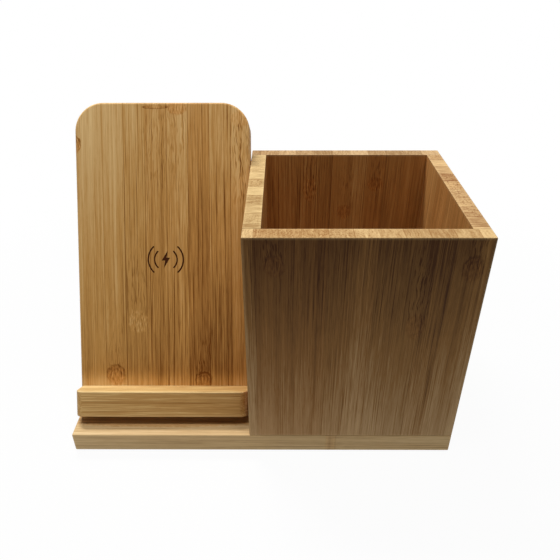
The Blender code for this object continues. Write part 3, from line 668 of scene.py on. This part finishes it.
@dataclass(frozen=True)
class Char:
    """Wood burnt dark by engraving."""

    name: str = "burnt_line"
    light: Screen = (96, 50, 22)
    dark: Screen = (48, 20, 9)
    cells: float = 1400.0
    roughness: Range = (0.75, 0.95)
    gloss: float = 0.1
    relief_depth: float = 0.00006
    relief_strength: float = 0.5

    def material(self) -> Material:
        """Make the material.

        Returns:
            The material.
        """
        graph = Graph(bpy.data.materials.new(self.name))
        soot = graph.noise(graph.here(), detail=3, scale=self.cells)
        return graph.dress({
            "Base Color": graph.mix(soot, paint(self.dark), paint(self.light)),
            "Roughness": soot.between(*self.roughness),
            "Specular IOR Level": self.gloss,
            "Normal": graph.relief(soot, self.relief_depth, self.relief_strength),
        })


@dataclass(frozen=True)
class Moulded:
    """A plain finish with a fine speckle: metal, rubber, resin, film, ceramic or beech."""

    name: str
    colour: Screen
    other: Screen
    speckles: float
    roughness: float
    metallic: float = 0.0
    drawn: tuple[float, float, float] = (1.0, 1.0, 1.0)
    broad_size: float = 9.0
    contrast: float = 2.2
    polish_range: float = 0.25
    relief_depth: float = 0.00003
    relief_strength: float = 0.4

    def material(self) -> Material:
        """Make the material.

        Returns:
            The material.
        """
        graph = Graph(bpy.data.materials.new(self.name))
        inputs = {0: graph.here(), 1: self.drawn}
        place = graph.node("ShaderNodeVectorMath", {"operation": "MULTIPLY"}, inputs).outputs[0]
        fine = graph.noise(place, detail=3, scale=self.speckles)
        broad = graph.noise(place, detail=1, scale=self.speckles / self.broad_size)
        share = (fine.swing() * self.contrast + broad).held()
        return graph.dress({
            "Base Color": graph.mix(share, paint(self.colour), paint(self.other)),
            "Roughness": (self.roughness + broad.swing() * self.polish_range).held(),
            "Metallic": self.metallic,
            "Normal": graph.relief(fine, self.relief_depth, self.relief_strength),
        })


# The steps of modelling, from a first block to a finished piece
def only(piece: Piece) -> None:
    """Pick one object and nothing else.

    Args:
        piece: The object.
    """
    bpy.ops.object.select_all(action="DESELECT")
    piece.select_set(True)
    bpy.context.view_layer.objects.active = piece


def settle(piece: Piece, matrix: Matrix | None = None) -> Piece:
    """Put a piece's place, turn and scale into its mesh.

    Args:
        piece: The piece.
        matrix: Where it goes, on top of its own place.

    Returns:
        The piece, at the origin.
    """
    only(piece)
    bpy.context.view_layer.update()
    if matrix is not None:
        piece.matrix_world = matrix @ piece.matrix_world
    bpy.ops.object.transform_apply(location=True, rotation=True, scale=True)
    return piece


def named(name: str) -> Piece:
    """Name the primitive that was just added, and settle it.

    Args:
        name: Its name.

    Returns:
        The piece.
    """
    piece = bpy.context.object
    piece.name = name
    piece.data.name = name
    return settle(piece)


def block(name: str, low: Sequence[float], high: Sequence[float]) -> Piece:
    """Add a block.

    Args:
        name: Its name.
        low: Its lowest corner.
        high: Its highest corner.

    Returns:
        The block.
    """
    bpy.ops.object.select_all(action="DESELECT")
    low, high = Vector(low), Vector(high)
    bpy.ops.mesh.primitive_cube_add(size=1, location=(low + high) / 2, scale=high - low)
    return named(name)


def rod(
    name: str, start: Vector, end: Vector, radius: float, end_radius: float | None = None, sides: int = 32
) -> Piece:
    """Add a round rod or a cone.

    Args:
        name: Its name.
        start: The middle of its first end.
        end: The middle of its other end.
        radius: Its radius at the start.
        end_radius: Its radius at the end, if it tapers.
        sides: How many sides it has.

    Returns:
        The rod.
    """
    bpy.ops.object.select_all(action="DESELECT")
    run = end - start
    bpy.ops.mesh.primitive_cone_add(
        vertices=sides,
        radius1=radius,
        radius2=radius if end_radius is None else end_radius,
        depth=run.length,
        location=(start + end) / 2,
        rotation=UP.rotation_difference(run).to_euler(),
    )
    return named(name)


def link(name: str, data: Any) -> Piece:
    """Add an object to the scene.

    Args:
        name: Its name.
        data: Its lamp, lens or curve.

    Returns:
        The object.
    """
    item = bpy.data.objects.new(name, data)
    bpy.context.scene.collection.objects.link(item)
    return item


@contextmanager
def editing(piece: Piece, mode: str = "EDGE") -> Iterator[bmesh.types.BMesh]:
    """Open a piece in edit mode with nothing picked.

    Args:
        piece: The piece.
        mode: What is picked, VERT, EDGE or FACE.

    Yields:
        Its editable mesh.
    """
    only(piece)
    bpy.ops.object.mode_set(mode="EDIT")
    bpy.ops.mesh.select_mode(type=mode)
    bpy.ops.mesh.select_all(action="DESELECT")
    yield bmesh.from_edit_mesh(piece.data)
    bpy.ops.object.mode_set(mode="OBJECT")


def bevel(piece: Piece, wanted: Callable[[Edge], bool], width: float, segments: int = 4) -> None:
    """Round the edges that a test picks.

    Args:
        piece: The piece.
        wanted: The test.
        width: How far the rounding reaches.
        segments: How many steps it has.
    """
    with editing(piece) as mesh:
        for edge in mesh.edges:
            if wanted(edge):
                edge.select_set(True)
        bmesh.update_edit_mesh(piece.data)
        bpy.ops.mesh.bevel(offset=width, segments=segments, affect="EDGES")


def tidy(piece: Piece) -> None:
    """Merge a mesh's doubled points and turn its faces outwards.

    Args:
        piece: The piece.
    """
    with editing(piece, "VERT"):
        bpy.ops.mesh.select_all(action="SELECT")
        bpy.ops.mesh.remove_doubles(threshold=DOUBLES)
        bpy.ops.mesh.normals_make_consistent(inside=False)


def apply(piece: Piece, kind: str, **settings: Any) -> None:
    """Add a modifier and apply it.

    Args:
        piece: The piece.
        kind: The modifier's type.
        settings: Its settings.
    """
    only(piece)
    modifier = piece.modifiers.new(kind.lower(), kind)
    for name, value in settings.items():
        setattr(modifier, name, value)
    bpy.ops.object.modifier_apply(modifier=modifier.name)


def cut(piece: Piece, cutter: Piece, matrix: Matrix | None = None) -> None:
    """Cut a shape out of a piece, and remove the shape.

    Args:
        piece: The piece.
        cutter: The shape.
        matrix: Where the shape goes first.
    """
    settle(cutter, matrix)
    settings = {"operation": "DIFFERENCE", "solver": "EXACT", "material_mode": "TRANSFER"}
    apply(piece, "BOOLEAN", object=cutter, **settings)
    bpy.data.objects.remove(cutter, do_unlink=True)


def drill(piece: Piece, names: Sequence[str], axis: Vector, radius: float = 0) -> None:
    """Drill the holes that round nodes sit in.

    Args:
        piece: What is drilled.
        names: The nodes' names.
        axis: Their length's direction.
        radius: The holes' radius, where the nodes' own isn't meant.
    """
    side = axis.orthogonal().normalized()
    upright = Directions(side, axis.cross(side), axis)
    for node in names:
        low, middle, high = upright.corners(node)
        reaches = (low.z - SLACK, high.z + SLACK)
        ends = (upright.matrix() @ Vector((middle.x, middle.y, reach)) for reach in reaches)
        cut(piece, rod("hole", *ends, radius or (high.y - low.y) / 2 + SLACK))


def runs_along(edge: Edge, direction: Vector) -> bool:
    """Whether an edge runs along a direction."""
    start, end = (corner.co for corner in edge.verts)
    return abs((end - start).normalized().dot(direction)) > ALIGNED


def is_sharp(edge: Edge, glued: Sequence[Vector] = ()) -> bool:
    """Whether an edge is sharp and on no face that looks a glued way."""
    is_glued = any(face.normal.dot(way) > ALIGNED for face in edge.link_faces for way in glued)
    return not is_glued and edge.calc_face_angle(0) > SHARP


def hand_over(piece: Piece, material: Material, slot: str, *nodes: str) -> Piece:
    """Shade and dress a finished piece, and let it stand for its nodes.

    Args:
        piece: The piece.
        material: Its main material.
        slot: The record's material slot, not used.
        nodes: The nodes that it stands for.

    Returns:
        The piece.
    """
    if piece.data.materials:
        piece.data.materials[0] = material
    else:
        piece.data.materials.append(material)
    only(piece)
    bpy.ops.object.shade_smooth_by_angle(angle=SHARP)
    apply(piece, "WEIGHTED_NORMAL", keep_sharp=True, weight=100)
    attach(piece, "root")
    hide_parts(*nodes)
    return piece


BASE_FINISH = Bamboo(
    "base_bamboo",
    dark=(142, 110, 70),
    middle=(201, 174, 128),
    pale=(236, 216, 172),
    seed=11,
    strip_width=0.0091,
    contrast=0.2,
    marks=(
        # A node, and painted shade on the base under the ledge
        NodeOrShadeMark(-0.0430, 0.0310, 0.0046, 0.0030, 0.3, 0.4, 0.2),
        NodeOrShadeMark(-0.0360, -0.0450, 0.0048, 0.0520, 0.0, 0.0, 0.0, -0.25),
    ),
)
LEDGE_FINISH = Bamboo(
    "ledge_bamboo",
    dark=(142, 96, 44),
    middle=(187, 145, 86),
    pale=(236, 206, 144),
    seed=892.6,
    strip_width=0.0115,
    strip_shift=0.552,
    contrast=0.5,
    streaks=1.35,
    # Darker towards the right end by the pen box: partly painted shade
    length_drift_and_shade=-0.12,
)
BOARD_FINISH = Bamboo(
    "board_bamboo",
    dark=(110, 64, 14),
    middle=(195, 145, 78),
    pale=(234, 198, 138),
    seed=3749.3,
    strip_width=0.00978,
    strip_shift=0.831,
    contrast=0.26,
    streaks=0.74,
    # Partly painted shade, darker towards the pen box and lower down, and a painted glow at the foot where
    # light from the ledge's top falls
    side_drift_and_shade=-0.06,
    length_drift_and_shade=0.22,
    painted_foot_glow=0.3,
    marks=(
        NodeOrShadeMark(-0.0032, 0.0693, 0.0062, -0.0009, 1.2, 0.5, 0.6, tail_run=58),
        NodeOrShadeMark(0.0066, 0.0690, 0.0050, -0.0034, 0.2, 0.9, 0.6, tail_run=15),
        NodeOrShadeMark(0.0355, 0.0640, 0.0050, -0.0040, 0.0, 0.5, 1.4, tail_run=13),
        NodeOrShadeMark(-0.0400, 0.0525, 0.0030, 0.0042, 1.3, 1.0, 0.3),
        NodeOrShadeMark(-0.0125, -0.0285, 0.0050, 0.0060, 0.0, 0.8, 0.5, 0.14),
        NodeOrShadeMark(-0.0232, -0.0540, 0.0048, 0.0056, 0.5, 0.8, 0.4),
        NodeOrShadeMark(0.0178, -0.0562, 0.0044, 0.0042, 0.6, 0.6, 1.2, 0.04, 6),
    ),
)
# A darker copy of the box's bamboo: painted shade on the front wall, which faces away from the lamps, with
# more painted shade towards its top
FRONT_WALL_SHADED_FINISH = Bamboo(
    "front_wall_shaded_bamboo",
    dark=(66, 36, 6),
    middle=(140, 101, 54),
    pale=(194, 162, 118),
    end_dark=(148, 108, 62),
    end_pale=(208, 176, 124),
    seed=3887,
    strip_width=0.009,
    strip_shift=0.55,
    contrast=0.24,
    streaks=0.64,
    seams=0.15,
    length_drift_and_shade=-0.34,
    marks=(
        NodeOrShadeMark(-0.0336, 0.0380, 0.0043, 0.0052, 0.1, 0.35, 1.5),
        NodeOrShadeMark(0.0384, 0.0370, 0.0043, 0.0060, 0.35, 0.5, 1.3),
        NodeOrShadeMark(0.0209, 0.0110, 0.0043, 0.0070, 0.0, 0.45, 0.9),
    ),
)
BACK_WALL_FINISH = Bamboo(
    "back_wall_bamboo",
    dark=(98, 52, 20),
    middle=(174, 118, 60),
    pale=(214, 168, 104),
    end_dark=(140, 106, 66),
    end_pale=(198, 166, 122),
    seed=57,
    strip_shift=0.76,
    contrast=0.14,
    streaks=0.66,
    seams=0.3,
    marks=(
        NodeOrShadeMark(-0.0170, 0.0320, 0.0040, 0.0070, 0.0, 0.9, 0.8, 0.04),
        NodeOrShadeMark(0.0006, 0.0200, 0.0040, 0.0042, 0.1, 0.7, 0.6),
        NodeOrShadeMark(0.0150, 0.0350, 0.0040, 0.0040, 0.1, 0.7, 0.6),
    ),
)
SIDE_WALL_FINISH = Bamboo(
    "side_wall_bamboo",
    dark=(120, 76, 34),
    middle=(193, 138, 77),
    pale=(225, 178, 114),
    end_dark=(150, 116, 70),
    end_pale=(217, 188, 134),
    seed=71,
    contrast=0.22,
    streaks=0.8,
    marks=(NodeOrShadeMark(0.0130, 0.0260, 0.0043, 0.0045, 0.4, 0.8, 0.6),),
)
RIGHT_WALL_FINISH = replace(
    SIDE_WALL_FINISH,
    name="right_wall_bamboo",
    end_dark=(136, 94, 54),
    end_pale=(214, 180, 128),
    seed=233,
    strip_shift=0.3,
    marks=(NodeOrShadeMark(-0.0190, 0.0140, 0.0043, 0.0050, 0.3, 0.8, 0.8),),
)
COVER_FINISH = Bamboo(
    "cover_bamboo",
    dark=(110, 64, 22),
    middle=(174, 124, 64),
    pale=(216, 175, 116),
    seed=90,
    strip_width=0.0096,
    contrast=0.3,
    marks=(NodeOrShadeMark(-0.0140, -0.0100, 0.0046, 0.0040, 0.8, 1.0, 1.0),),
)


@dataclass
class BasePlate:
    """The long base, with its slanted groove, foot seats and bores."""

    rounding: float = 0.0005
    overrun: float = 0.002
    bore_radius: float = 0.0031
    bore_run: float = 0.0144

    def build(self) -> list[Piece]:
        """Model and dress the base.

        Returns:
            The base, alone.
        """
        base = block("base_of_stand", *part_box("base_plate"))
        bevel(base, is_sharp, self.rounding)
        # The groove is cut as high as the board is thick, which is past the base's top
        low, _, high = LEANING.corners("charging_board")
        low = Vector((low.x - self.overrun, low.y - SLACK, low.z - SLACK))
        high = Vector((high.x + SLACK, high.y + SLACK, high.y + self.overrun))
        cut(base, block("groove", low, high), LEANING.matrix())
        drill(base, every("rubber_foot_"), UP)
        for node in every("board_screw_"):
            drill(base, (node,), LEANING.up, BOARD_SCREW_SHANK)
            self.bore(base, node)
        stock = Stock.of("base_plate", LEVEL, Grain.ACROSS, Grain.INWARD)
        return [hand_over(base, BASE_FINISH.material(stock), "base_bamboo", "base_plate")]

    def bore(self, base: Piece, node: str) -> None:
        """Open a screw head's bore to the underside.

        Args:
            base: The base.
            node: The screw's node.
        """
        low, middle, _ = LEANING.corners(node)
        ends = (low.z - self.bore_run, low.z + BOARD_SCREW_SHANK)
        start, end = (LEANING.matrix() @ Vector((middle.x, middle.y, place)) for place in ends)
        cut(base, rod("bore", start, end, self.bore_radius))


@dataclass
class PenBox:
    """The four walls of the pen box, glued at their corners and doweled to the base."""

    rounding: float = 0.0005

    def build(self) -> list[Piece]:
        """Model and dress the walls.

        Returns:
            The four walls.
        """
        plans = {
            # The front wall takes the darker copy of the bamboo that holds painted shade
            "front": (FRONT_WALL_SHADED_FINISH, Grain.ACROSS, (-UP, BACK)),
            "back": (BACK_WALL_FINISH, Grain.ACROSS, (-UP, -BACK)),
            "left": (SIDE_WALL_FINISH, Grain.INWARD, (-UP, BACK, -BACK, RIGHT)),
            "right": (RIGHT_WALL_FINISH, Grain.INWARD, (-UP, BACK, -BACK, -RIGHT)),
        }
        walls = []
        for side, (finish, strips, glued) in plans.items():
            node = f"box_{side}_panel"
            wall = block(f"{side}_wall", *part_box(node))
            bevel(wall, lambda edge: is_sharp(edge, glued), self.rounding)
            drill(wall, every(f"box_dowel_{side}_"), UP)
            stock = Stock.of(node, LEVEL, Grain.UP, strips)
            walls.append(hand_over(wall, finish.material(stock), "box_bamboo", node))
        return walls


@dataclass
class Symbol:
    """The engraved charging symbol: a bolt between two pairs of arcs."""

    shift: float = 0.0008
    drop: float = 0.0004
    depth: float = 0.0004
    line: float = 0.0007
    radii: Range = (0.0052, 0.0081)
    half_spread: float = math.radians(48)
    bolt_size: Range = (0.0039, 0.0082)
    bolt_left: tuple[Range, ...] = ((0.24, 0.5), (-0.5, -0.06), (-0.08, -0.06))
    bolt_right: tuple[Range, ...] = ((-0.24, -0.5), (0.5, 0.1), (0.1, 0.1))

    def arc(self, radius: float) -> Piece:
        """Spin the groove of an arc on the right-hand side.

        Args:
            radius: Its middle radius.

        Returns:
            A closed solid round the board's face.
        """
        bpy.ops.object.select_all(action="DESELECT")
        bpy.ops.mesh.primitive_plane_add(size=1, location=(radius, 0, 0))
        bpy.context.object.scale = (self.line, 2 * self.depth, 1)
        arc = named("arc")
        with editing(arc, "FACE"):
            bpy.ops.mesh.select_all(action="SELECT")
            bpy.ops.mesh.spin(steps=20, angle=2 * self.half_spread, center=(0, 0, 0), axis=BACK)
        tidy(arc)
        return settle(arc, Matrix.Rotation(self.half_spread, 4, "Y"))

    def bolt(self) -> Piece:
        """Fill the bolt's outline.

        Returns:
            A closed solid round the board's face.
        """
        curve = bpy.data.curves.new("bolt", "CURVE")
        curve.dimensions = "2D"
        curve.fill_mode = "BOTH"
        curve.extrude = self.depth
        line = curve.splines.new("POLY")
        shares = self.bolt_left + self.bolt_right
        line.points.add(len(shares) - 1)
        for point, (across, up) in zip(line.points, shares):
            point.co = (across * self.bolt_size[0], up * self.bolt_size[1], 0, 1)
        line.use_cyclic_u = True
        only(link("bolt", curve))
        bpy.ops.object.convert(target="MESH")
        bolt = settle(bpy.context.object, Matrix.Rotation(math.pi / 2, 4, "X"))
        tidy(bolt)
        return bolt

    def engrave(self, board: Piece, burnt: Material) -> None:
        """Engrave the symbol in the board's front.

        Args:
            board: The board.
            burnt: The material of the engraved lines.
        """
        middle = LEANING.corners("adhesive_disc")[1]
        place = Matrix.Translation((middle.x + self.shift, 0, middle.z - self.drop))
        shapes = [self.bolt()]
        for radius in self.radii:
            right = self.arc(radius)
            only(right)
            bpy.ops.object.duplicate(linked=False)
            shapes += [right, settle(bpy.context.object, Matrix.Rotation(math.pi, 4, "Y"))]
        for shape in shapes:
            shape.data.materials.clear()
            shape.data.materials.append(burnt)
            cut(board, shape, LEANING.matrix() @ place)


@dataclass
class ChargingBoard:
    """The leaning board, with its engraved symbol in front and its pockets behind."""

    corner: float = 0.013
    rounding: float = 0.0009
    seat_corner: float = 0.0052
    overrun: float = 0.002
    circuit_side: float = 0.003
    circuit_foot: float = 0.0012
    neck_share: float = 0.717
    pocket_corner: float = 0.003
    coil_room: float = 0.0017
    symbol: Symbol = field(default_factory=Symbol)

    def build(self) -> list[Piece]:
        """Model and dress the board.

        Returns:
            The board, alone.
        """
        low, middle, high = LEANING.corners("charging_board")
        board = block("leaning_board", low, high)

        def is_top_corner(edge: Edge) -> bool:
            """Whether an edge is one of the two upper corners."""
            return runs_along(edge, BACK) and edge.verts[0].co.z > middle.z

        bevel(board, is_top_corner, self.corner, segments=20)
        bevel(board, lambda edge: is_sharp(edge, (-UP,)), self.rounding)
        settle(board, LEANING.matrix())
        wood = BOARD_FINISH.material(Stock.of("charging_board", LEANING, Grain.UP, Grain.ACROSS))
        board.data.materials.append(wood)
        self.mill(board)
        drill(board, every("board_screw_"), LEANING.up, BOARD_SCREW_SHANK)
        drill(board, every("ledge_dowel_"), LEANING.inward)
        self.symbol.engrave(board, Char().material())
        return [hand_over(board, wood, "board_bamboo", "charging_board")]

    def mill(self, board: Piece) -> None:
        """Mill the cover's seat, the circuit's pocket and the coil's round pocket.

        Args:
            board: The board.
        """
        low, _, high = LEANING.corners("back_cover")
        back = high.y + self.overrun
        low = low - Vector((SLACK, SLACK, SLACK))
        seat = block("seat", low, (high.x + SLACK, back, high.z + SLACK))
        bevel(seat, lambda edge: runs_along(edge, BACK), self.seat_corner, segments=8)
        disc_low, disc, _ = LEANING.corners("adhesive_disc")
        ring_low, ring, _ = LEANING.corners("ferrite_sheet")
        radius = ring.x - ring_low.x + self.coil_room
        low, _, high = LEANING.corners("circuit_board")
        floor = LEANING.corners("foam_pad")[0].y - SLACK
        low = (low.x - self.circuit_side, floor, low.z - self.circuit_foot)
        high = (high.x + self.circuit_side, back, disc.z - radius * self.neck_share)
        pocket = block("pocket", low, high)
        bevel(pocket, lambda edge: runs_along(edge, BACK), self.pocket_corner, segments=6)
        start = Vector((disc.x, disc_low.y - SLACK, disc.z))
        coil = rod("coil_pocket", start, Vector((disc.x, back, disc.z)), radius, sides=96)
        for cutter in (seat, pocket, coil):
            cut(board, cutter, LEANING.matrix())


@dataclass
class PhoneLedge:
    """The bar that the phone stands on."""

    corner: float = 0.0038
    rounding: float = 0.0003

    def build(self) -> list[Piece]:
        """Model and dress the ledge.

        Returns:
            The ledge, alone.
        """
        low, middle, high = LEANING.corners("phone_ledge")
        ledge = block("ledge_bar", low, high)

        def is_front_corner(edge: Edge) -> bool:
            """Whether an edge is one of the two front corners."""
            return runs_along(edge, UP) and edge.verts[0].co.y < middle.y

        bevel(ledge, is_front_corner, self.corner, segments=14)
        bevel(ledge, lambda edge: is_sharp(edge, (BACK,)), self.rounding)
        settle(ledge, LEANING.matrix())
        drill(ledge, every("ledge_dowel_"), LEANING.inward)
        stock = Stock.of("phone_ledge", LEANING, Grain.ACROSS, Grain.UP)
        return [hand_over(ledge, LEDGE_FINISH.material(stock), "base_bamboo", "phone_ledge")]


@dataclass
class BackCover:
    """The thin plate behind the pockets, with the inlet's window and four countersunk holes."""

    corner: float = 0.005
    rounding: float = 0.0003
    window_slack: float = 0.0003
    window_flat: float = 0.00001
    overrun: float = 0.001
    shank_radius: float = 0.0011

    def build(self) -> list[Piece]:
        """Model and dress the cover.

        Returns:
            The cover, alone.
        """
        low, _, high = LEANING.corners("back_cover")
        cover = block("rear_cover", low, high)
        bevel(cover, lambda edge: runs_along(edge, BACK), self.corner, segments=10)
        bevel(cover, lambda edge: is_sharp(edge, (-BACK,)), self.rounding, segments=3)
        settle(cover, LEANING.matrix())
        self.open_window(cover, low.y, high.y)
        for node in every("cover_screw_"):
            self.countersink(cover, node, low.y, high.y)
        stock = Stock.of("back_cover", LEANING, Grain.UP, Grain.ACROSS)
        return [hand_over(cover, COVER_FINISH.material(stock), "board_bamboo", "back_cover")]

    def open_window(self, cover: Piece, front: float, back: float) -> None:
        """Cut the inlet's window, whose ends are round but for a sliver of flat.

        Args:
            cover: The cover.
            front: Its front face's depth.
            back: Its back face's depth.
        """
        low, _, high = LEANING.corners("usb_shell")
        room = Vector((self.window_slack, 0, self.window_slack))
        low, high = low - room, high + room
        low.y, high.y = front - self.overrun, back + self.overrun
        window = block("window", low, high)
        radius = (high.z - low.z) / 2 - self.window_flat
        bevel(window, lambda edge: runs_along(edge, BACK), radius, segments=10)
        cut(cover, window, LEANING.matrix())

    def countersink(self, cover: Piece, node: str, front: float, back: float) -> None:
        """Cut a screw's hole and the seat of its head.

        Args:
            cover: The cover.
            node: The screw's node.
            front: The cover's front face's depth.
            back: Its back face's depth.
        """
        low, middle, _ = LEANING.corners(node)
        head = middle.x - low.x + SLACK
        depths = (front - self.overrun, back, back - head + self.shank_radius, back + self.overrun)
        tip, end, sink, mouth = (LEANING.matrix() @ Vector((middle.x, depth, middle.z)) for depth in depths)
        cut(cover, rod("shank", tip, end, self.shank_radius))
        cut(cover, rod("sink", sink, mouth, self.shank_radius, head + self.overrun))


HARDWARE_FINISHES = {
    "screw_steel": Moulded("zinc_steel", (176, 178, 180), (208, 208, 206), 1600, 0.34, 1.0),
    "foot_rubber": Moulded("black_rubber", (30, 30, 31), (46, 46, 46), 1500, 0.82),
    "dowel_beech": Moulded("beech", (206, 170, 122), (226, 194, 150), 700, 0.7, drawn=(1.0, 1.0, 0.12)),
    "coil_copper": Moulded("enamelled_copper", (176, 88, 44), (206, 112, 60), 800, 0.28, 1.0),
    "pad_film": Moulded("white_film", (222, 222, 216), (236, 236, 230), 500, 0.7),
    "ferrite": Moulded("ferrite_grey", (62, 62, 66), (82, 82, 86), 1300, 0.6),
    "circuit_laminate": Moulded("solder_mask", (14, 96, 52), (22, 118, 66), 350, 0.35),
    "chip_resin": Moulded("black_resin", (26, 26, 27), (40, 40, 42), 1900, 0.5),
    "capacitor_ceramic": Moulded("tan_ceramic", (186, 152, 112), (206, 174, 132), 1100, 0.5),
    "capacitor_can": Moulded("drawn_can", (196, 198, 202), (222, 222, 224), 900, 0.3, 1.0),
}


@dataclass
class Hardware:
    """The screws, dowels, feet and charger parts, which keep their solids."""

    finishes: dict[str, Moulded] = field(default_factory=HARDWARE_FINISHES.copy)

    def build(self) -> list[Piece]:
        """Dress the nodes that stay.

        Returns:
            The nodes.
        """
        materials = {slot: finish.material() for slot, finish in self.finishes.items()}
        dressed = []
        for entry in frame["record"]["subparts"]:
            if entry["material_slot"] in materials:
                node = frame["nodes"][entry["node"]]
                for slot in node.material_slots:
                    slot.material = materials[entry["material_slot"]]
                dressed.append(node)
        return dressed


@dataclass(frozen=True)
class Lamp:
    """A wide soft lamp that hangs over the stand and looks at it."""

    name: str
    place: tuple[float, float, float]
    width: float
    depth: float
    watts: float

    def hang(self) -> None:
        """Add the lamp to the scene."""
        light = bpy.data.lights.new(self.name, "AREA")
        light.shape = "RECTANGLE"
        light.size = self.width
        light.size_y = self.depth
        light.energy = self.watts
        place = Vector(self.place)
        link(self.name, light).matrix_world = Matrix.LocRotScale(place, UP.rotation_difference(place), None)


@dataclass
class Studio:
    """The floor, the light and the camera."""

    camera_place: tuple[float, float, float] = (0.00944, -0.21729, 0.20211)
    camera_down: float = math.radians(32.49)
    camera_left: float = math.radians(0.312)
    camera_roll: float = math.radians(-0.115)
    sensor: float = 36.0
    focal_pixels: float = 553.0
    frame_pixels: float = 560.0
    nearest: float = 0.01
    floor_size: float = 30.0
    floor_roughness: float = 0.9
    near_floor: Colour = (0.72, 0.72, 0.71)
    far_floor: Colour = (0.22, 0.22, 0.22)
    darkening: Range = (0.08, 0.4)
    whiteness: float = 0.95
    whitening: Range = (0.1, 0.3)
    fill: float = 0.16
    lamps: tuple[Lamp, ...] = (
        Lamp("front_lamp", (0.06, -0.17, 0.9), 0.6, 0.16, 4.2),
        Lamp("rear_lamp", (-0.26, 0.36, 0.86), 0.4, 0.16, 6.4),
    )

    def build(self) -> None:
        """Set up everything round the object."""
        self.clear()
        self.add_camera()
        self.add_floor()
        for lamp in self.lamps:
            lamp.hang()
        self.add_surroundings()
        bpy.context.scene.view_settings.view_transform = "Standard"

    def clear(self) -> None:
        """Remove what a new file may hold besides the frame."""
        kept = {item.name for item in (*frame["nodes"].values(), *frame["bodies"].values())}
        for item in list(bpy.data.objects):
            if item.name not in kept:
                bpy.data.objects.remove(item, do_unlink=True)

    def add_camera(self) -> None:
        """Place the camera."""
        lens = bpy.data.cameras.new("camera")
        lens.sensor_width = self.sensor
        lens.lens = self.sensor * self.focal_pixels / self.frame_pixels
        lens.clip_start = self.nearest
        camera = link("camera", lens)
        turn = (
            Matrix.Rotation(self.camera_left, 4, "Z")
            @ Matrix.Rotation(math.pi / 2 - self.camera_down, 4, "X")
            @ Matrix.Rotation(self.camera_roll, 4, "Z")
        )
        camera.matrix_world = Matrix.Translation(self.camera_place) @ turn
        bpy.context.scene.camera = camera

    def show_white(self, graph: Graph, kind: str, lit: Socket, share: Number) -> Socket:
        """Show white to the camera's rays, and to those that metal or glass sends on.

        Args:
            graph: The nodes of the floor or the room.
            kind: The type of the white's node.
            lit: The shader for all other rays.
            share: How much of the white they see.

        Returns:
            The mixed shader's socket.
        """
        path = graph.node("ShaderNodeLightPath")
        names = ("Is Camera Ray", "Is Glossy Ray", "Is Transmission Ray")
        camera, glossy, passing = (Value(graph, path.outputs[name]) for name in names)
        white = graph.node(kind, None, {"Color": WHITE, "Strength": 1.0})
        inputs = {0: (camera + glossy + passing).held() * share, 1: lit, 2: white.outputs[0]}
        return graph.node("ShaderNodeMixShader", None, inputs).outputs[0]

    def add_floor(self) -> None:
        """Lay a pale floor that turns white away from the object."""
        bpy.ops.object.select_all(action="DESELECT")
        bpy.ops.mesh.primitive_plane_add(size=self.floor_size)
        floor = named("studio_floor")
        graph = Graph(bpy.data.materials.new("studio_floor"))
        reach = graph.measure("LENGTH", graph.here())
        colour = graph.mix(reach.rise(*self.darkening), self.near_floor, self.far_floor)
        graph.dress({"Base Color": colour, "Roughness": self.floor_roughness, "Specular IOR Level": 0.0})
        share = reach.rise(*self.whitening).between(self.whiteness, 1.0)
        mixed = self.show_white(graph, "ShaderNodeEmission", graph.shader().outputs[0], share)
        graph.feed(graph.tree.nodes["Material Output"].inputs["Surface"], mixed)
        floor.data.materials.append(graph.owner)

    def add_surroundings(self) -> None:
        """Light the room evenly, and show it white."""
        graph = Graph(bpy.data.worlds.new("room"))
        bpy.context.scene.world = graph.owner
        graph.tree.nodes.clear()
        soft = graph.node("ShaderNodeBackground", None, {"Color": WHITE, "Strength": self.fill})
        mixed = self.show_white(graph, "ShaderNodeBackground", soft.outputs[0], 1.0)
        graph.node("ShaderNodeOutputWorld", None, {"Surface": mixed})


def main() -> None:
    """Build the studio and every sub-assembly, and report each piece."""
    logging.basicConfig(level=logging.INFO, format="%(name)s: %(message)s")
    Studio().build()
    for assembly in (BasePlate(), PenBox(), ChargingBoard(), PhoneLedge(), BackCover(), Hardware()):
        for piece in assembly.build():
            LOG.info("%s: %s, %d faces", type(assembly).__name__, piece.name, len(piece.data.polygons))


if __name__ == "__main__":
    main()
